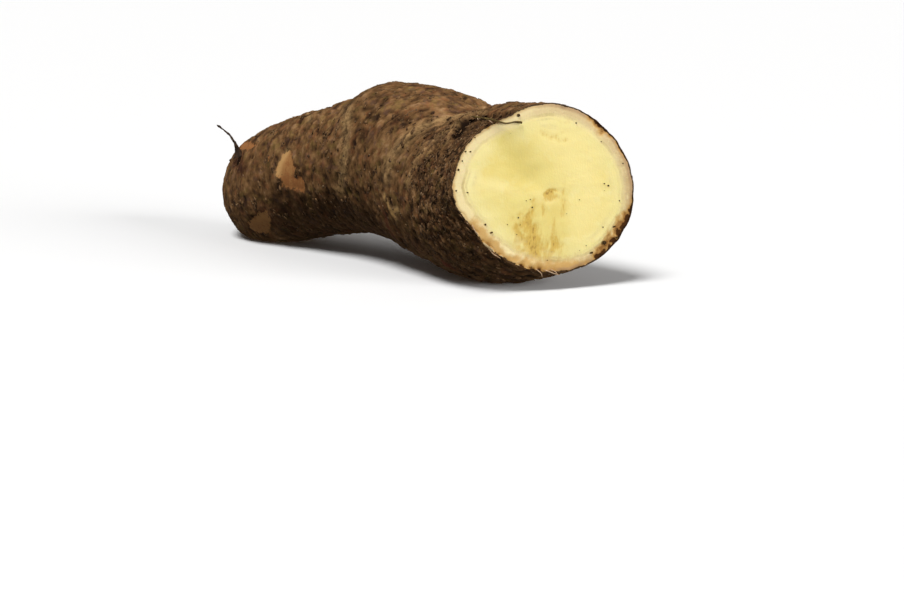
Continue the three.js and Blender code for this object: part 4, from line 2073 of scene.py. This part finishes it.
    def _on_slice(self, spots: Array) -> Array:
        """Puts places on the slice into the frame.

        Args:
            spots: Their places across, up and out of the slice.

        Returns:
            The points.
        """
        skin = self.root.skin
        flat = spots[:, :1] * self.root.cut.across + spots[:, 1:2] * np.array((0.0, 0.0, 1.0))
        return skin.slice_centre + flat + spots[:, 2:3] * skin.slice_normal

    def _fibre_paths(self) -> tuple[list[Array], list[Array]]:
        """Draws paths over the bark for the fine fibres, most of them near the slice.

        Returns:
            Each path's points, and the radii there.
        """
        draw = np.random.default_rng(self.seed)
        rings, sides = self.root.moved.shape[:2]
        paths, radii = [], []
        while len(paths) < self.fibres:
            start = rings - 2 - abs(draw.normal(0.0, self.near * rings)), draw.uniform(0.0, sides)
            path = self._wander(draw, *start)
            if len(path) > 4:
                line = flowing(np.array(path), 2 * len(path))
                share = np.linspace(0.0, 1.0, len(line))
                paths.append(line)
                radii.append(draw.uniform(0.07, 0.14) * (0.45 + 0.9 * np.sin(math.pi * share) ** 0.5))
        return paths, radii

    def _wander(self, draw: np.random.Generator, ring: float, side: float) -> list[Array]:
        """Walks over the bark, mostly around the root, with both ends lifted a little.

        Args:
            draw: The random draws.
            ring: The ring to start on.
            side: The side to start on.

        Returns:
            The points walked over, up to the skin's ends.
        """
        outward, moved = self.root.skin.outward, self.root.moved
        rings, sides = moved.shape[:2]
        heading = draw.normal(0.5 * math.pi, 0.6)
        length = int(draw.uniform(5, 14))
        path = []
        for k in range(length):
            i, j = int(round(ring)), int(round(side)) % sides
            if not 1 < i < rings - 1:
                break
            lift = 0.12 + 0.5 * draw.uniform() * (k in (0, length - 1))
            path.append(moved[i, j] + lift * outward[i, j])
            ring += math.cos(heading)
            side += math.sin(heading)
            heading += draw.normal(0.0, 0.25)
        return path


@dataclass(frozen=True)
class Sun:
    """A soft light from far away.

    Attributes:
        towards: The way from the root to the light.
        strength: How bright it is.
        softness: How wide it looks, in degrees.
    """

    name: str
    towards: Spot
    strength: float
    softness: float

    def build(self) -> None:
        """Makes the light."""
        data = bpy.data.lights.new(self.name, "SUN")
        data.energy, data.angle = self.strength, math.radians(self.softness)
        light = put_in(self.name, data)
        light.rotation_euler = Vector(self.towards).to_track_quat("Z", "Y").to_euler()


@dataclass
class Studio:
    """The floor, the soft lights and the camera.

    Attributes:
        aim: The place in the slice that the camera is set by.
        azimuth: How far round from the front the camera stands, in degrees.
        pitch: How far it looks down, in degrees.
        distance: How far it is from that place.
        aim_from_middle: How far right and up of the picture's middle the place is seen.
        image_width: The width of the picture that those two belong to.
        clip: The nearest and the farthest that the camera sees, in metres.
        glow: How much light comes out of it.
        backdrop: How bright it looks behind the root.
    """

    aim: Spot = (94.84, -5.0, 40.0)
    azimuth: float = 47.6
    pitch: float = 12.24
    distance: float = 616.0
    lens: float = 65.0
    sensor: float = 36.0
    aim_from_middle: tuple[float, float] = (90.5, 120.0)
    image_width: float = 904.0
    clip: tuple[float, float] = (0.01, 100.0)
    floor_size: float = 40.0
    suns: tuple[Sun, ...] = (
        Sun("key_light", (0.10, -0.45, 0.88), 2.9, 24.0),
        Sun("slice_light", (0.95, 0.20, 0.26), 2.45, 30.0),
    )
    air: Colour = (1.0, 0.985, 0.96)
    glow: float = 0.14
    backdrop: float = 0.97

    def build(self) -> None:
        """Makes the floor, the camera, the lights and the air."""
        self._floor()
        self._camera()
        for sun in self.suns:
            sun.build()
        self._world()
        bpy.context.scene.view_settings.view_transform = "Standard"

    def _floor(self) -> None:
        """A plain pale floor under the root."""
        half = self.floor_size / 2
        corners = [(-half, -half, 0.0), (half, -half, 0.0), (half, half, 0.0), (-half, half, 0.0)]
        mesh = bpy.data.meshes.new("floor")
        mesh.from_pydata(corners, [], [(0, 1, 2, 3)])
        mesh.materials.append(FloorFinish().material())
        floor = put_in("floor", mesh)
        floor.visible_diffuse = False

    def _camera(self) -> None:
        """The camera, level across and looking down a little at the slice from its right."""
        turn, dip = math.radians(self.azimuth), math.radians(self.pitch)
        back = np.array([math.sin(turn) * math.cos(dip), -math.cos(turn) * math.cos(dip), math.sin(dip)])
        right = np.array([math.cos(turn), math.sin(turn), 0.0])
        above = np.cross(back, right)
        focal = self.lens / self.sensor * self.image_width
        aside = self.aim_from_middle[0] / focal * right + self.aim_from_middle[1] / focal * above
        place = (np.array(self.aim) + self.distance * (back - aside)) * MM
        data = bpy.data.cameras.new("camera")
        data.lens, data.sensor_width = self.lens, self.sensor
        data.clip_start, data.clip_end = self.clip
        camera = put_in("camera", data)
        camera.location = place
        camera.rotation_euler = (math.radians(90.0 - self.pitch), 0.0, turn)
        bpy.context.scene.camera = camera

    def _world(self) -> None:
        """The air: a dim, even light, and a bright backdrop to look at."""
        world = bpy.data.worlds.new("studio")
        world.use_nodes = True
        tree = Tree(world.node_tree)
        seen = tree.add("ShaderNodeLightPath", {}, {}, "Is Camera Ray")
        glow = [
            tree.add("ShaderNodeBackground", {}, {"Color": self.air, "Strength": strength})
            for strength in (self.glow, self.backdrop)
        ]
        sky = tree.add("ShaderNodeMixShader", {}, {0: seen, 1: glow[0], 2: glow[1]})
        tree.node("ShaderNodeOutputWorld", {}, {"Surface": sky})
        bpy.context.scene.world = world


def main() -> None:
    """Builds the root, piece by piece, and reports each one."""
    logging.basicConfig(level=logging.INFO, format="%(message)s")
    skin = Skin()
    bark = Bark(skin)
    root = Root(skin, bark)
    grown = root.build()
    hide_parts(NODE)
    trimmings = Trimmings(root)
    pieces = [grown, Rootlet(root).build(), *trimmings.on_slice(), *trimmings.on_bark(grown.data)]
    for piece in pieces:
        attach(piece, BODY)
        log.info("%s: %d faces", piece.name, len(piece.data.polygons))
    Studio().build()


if __name__ == "__main__":
    main()
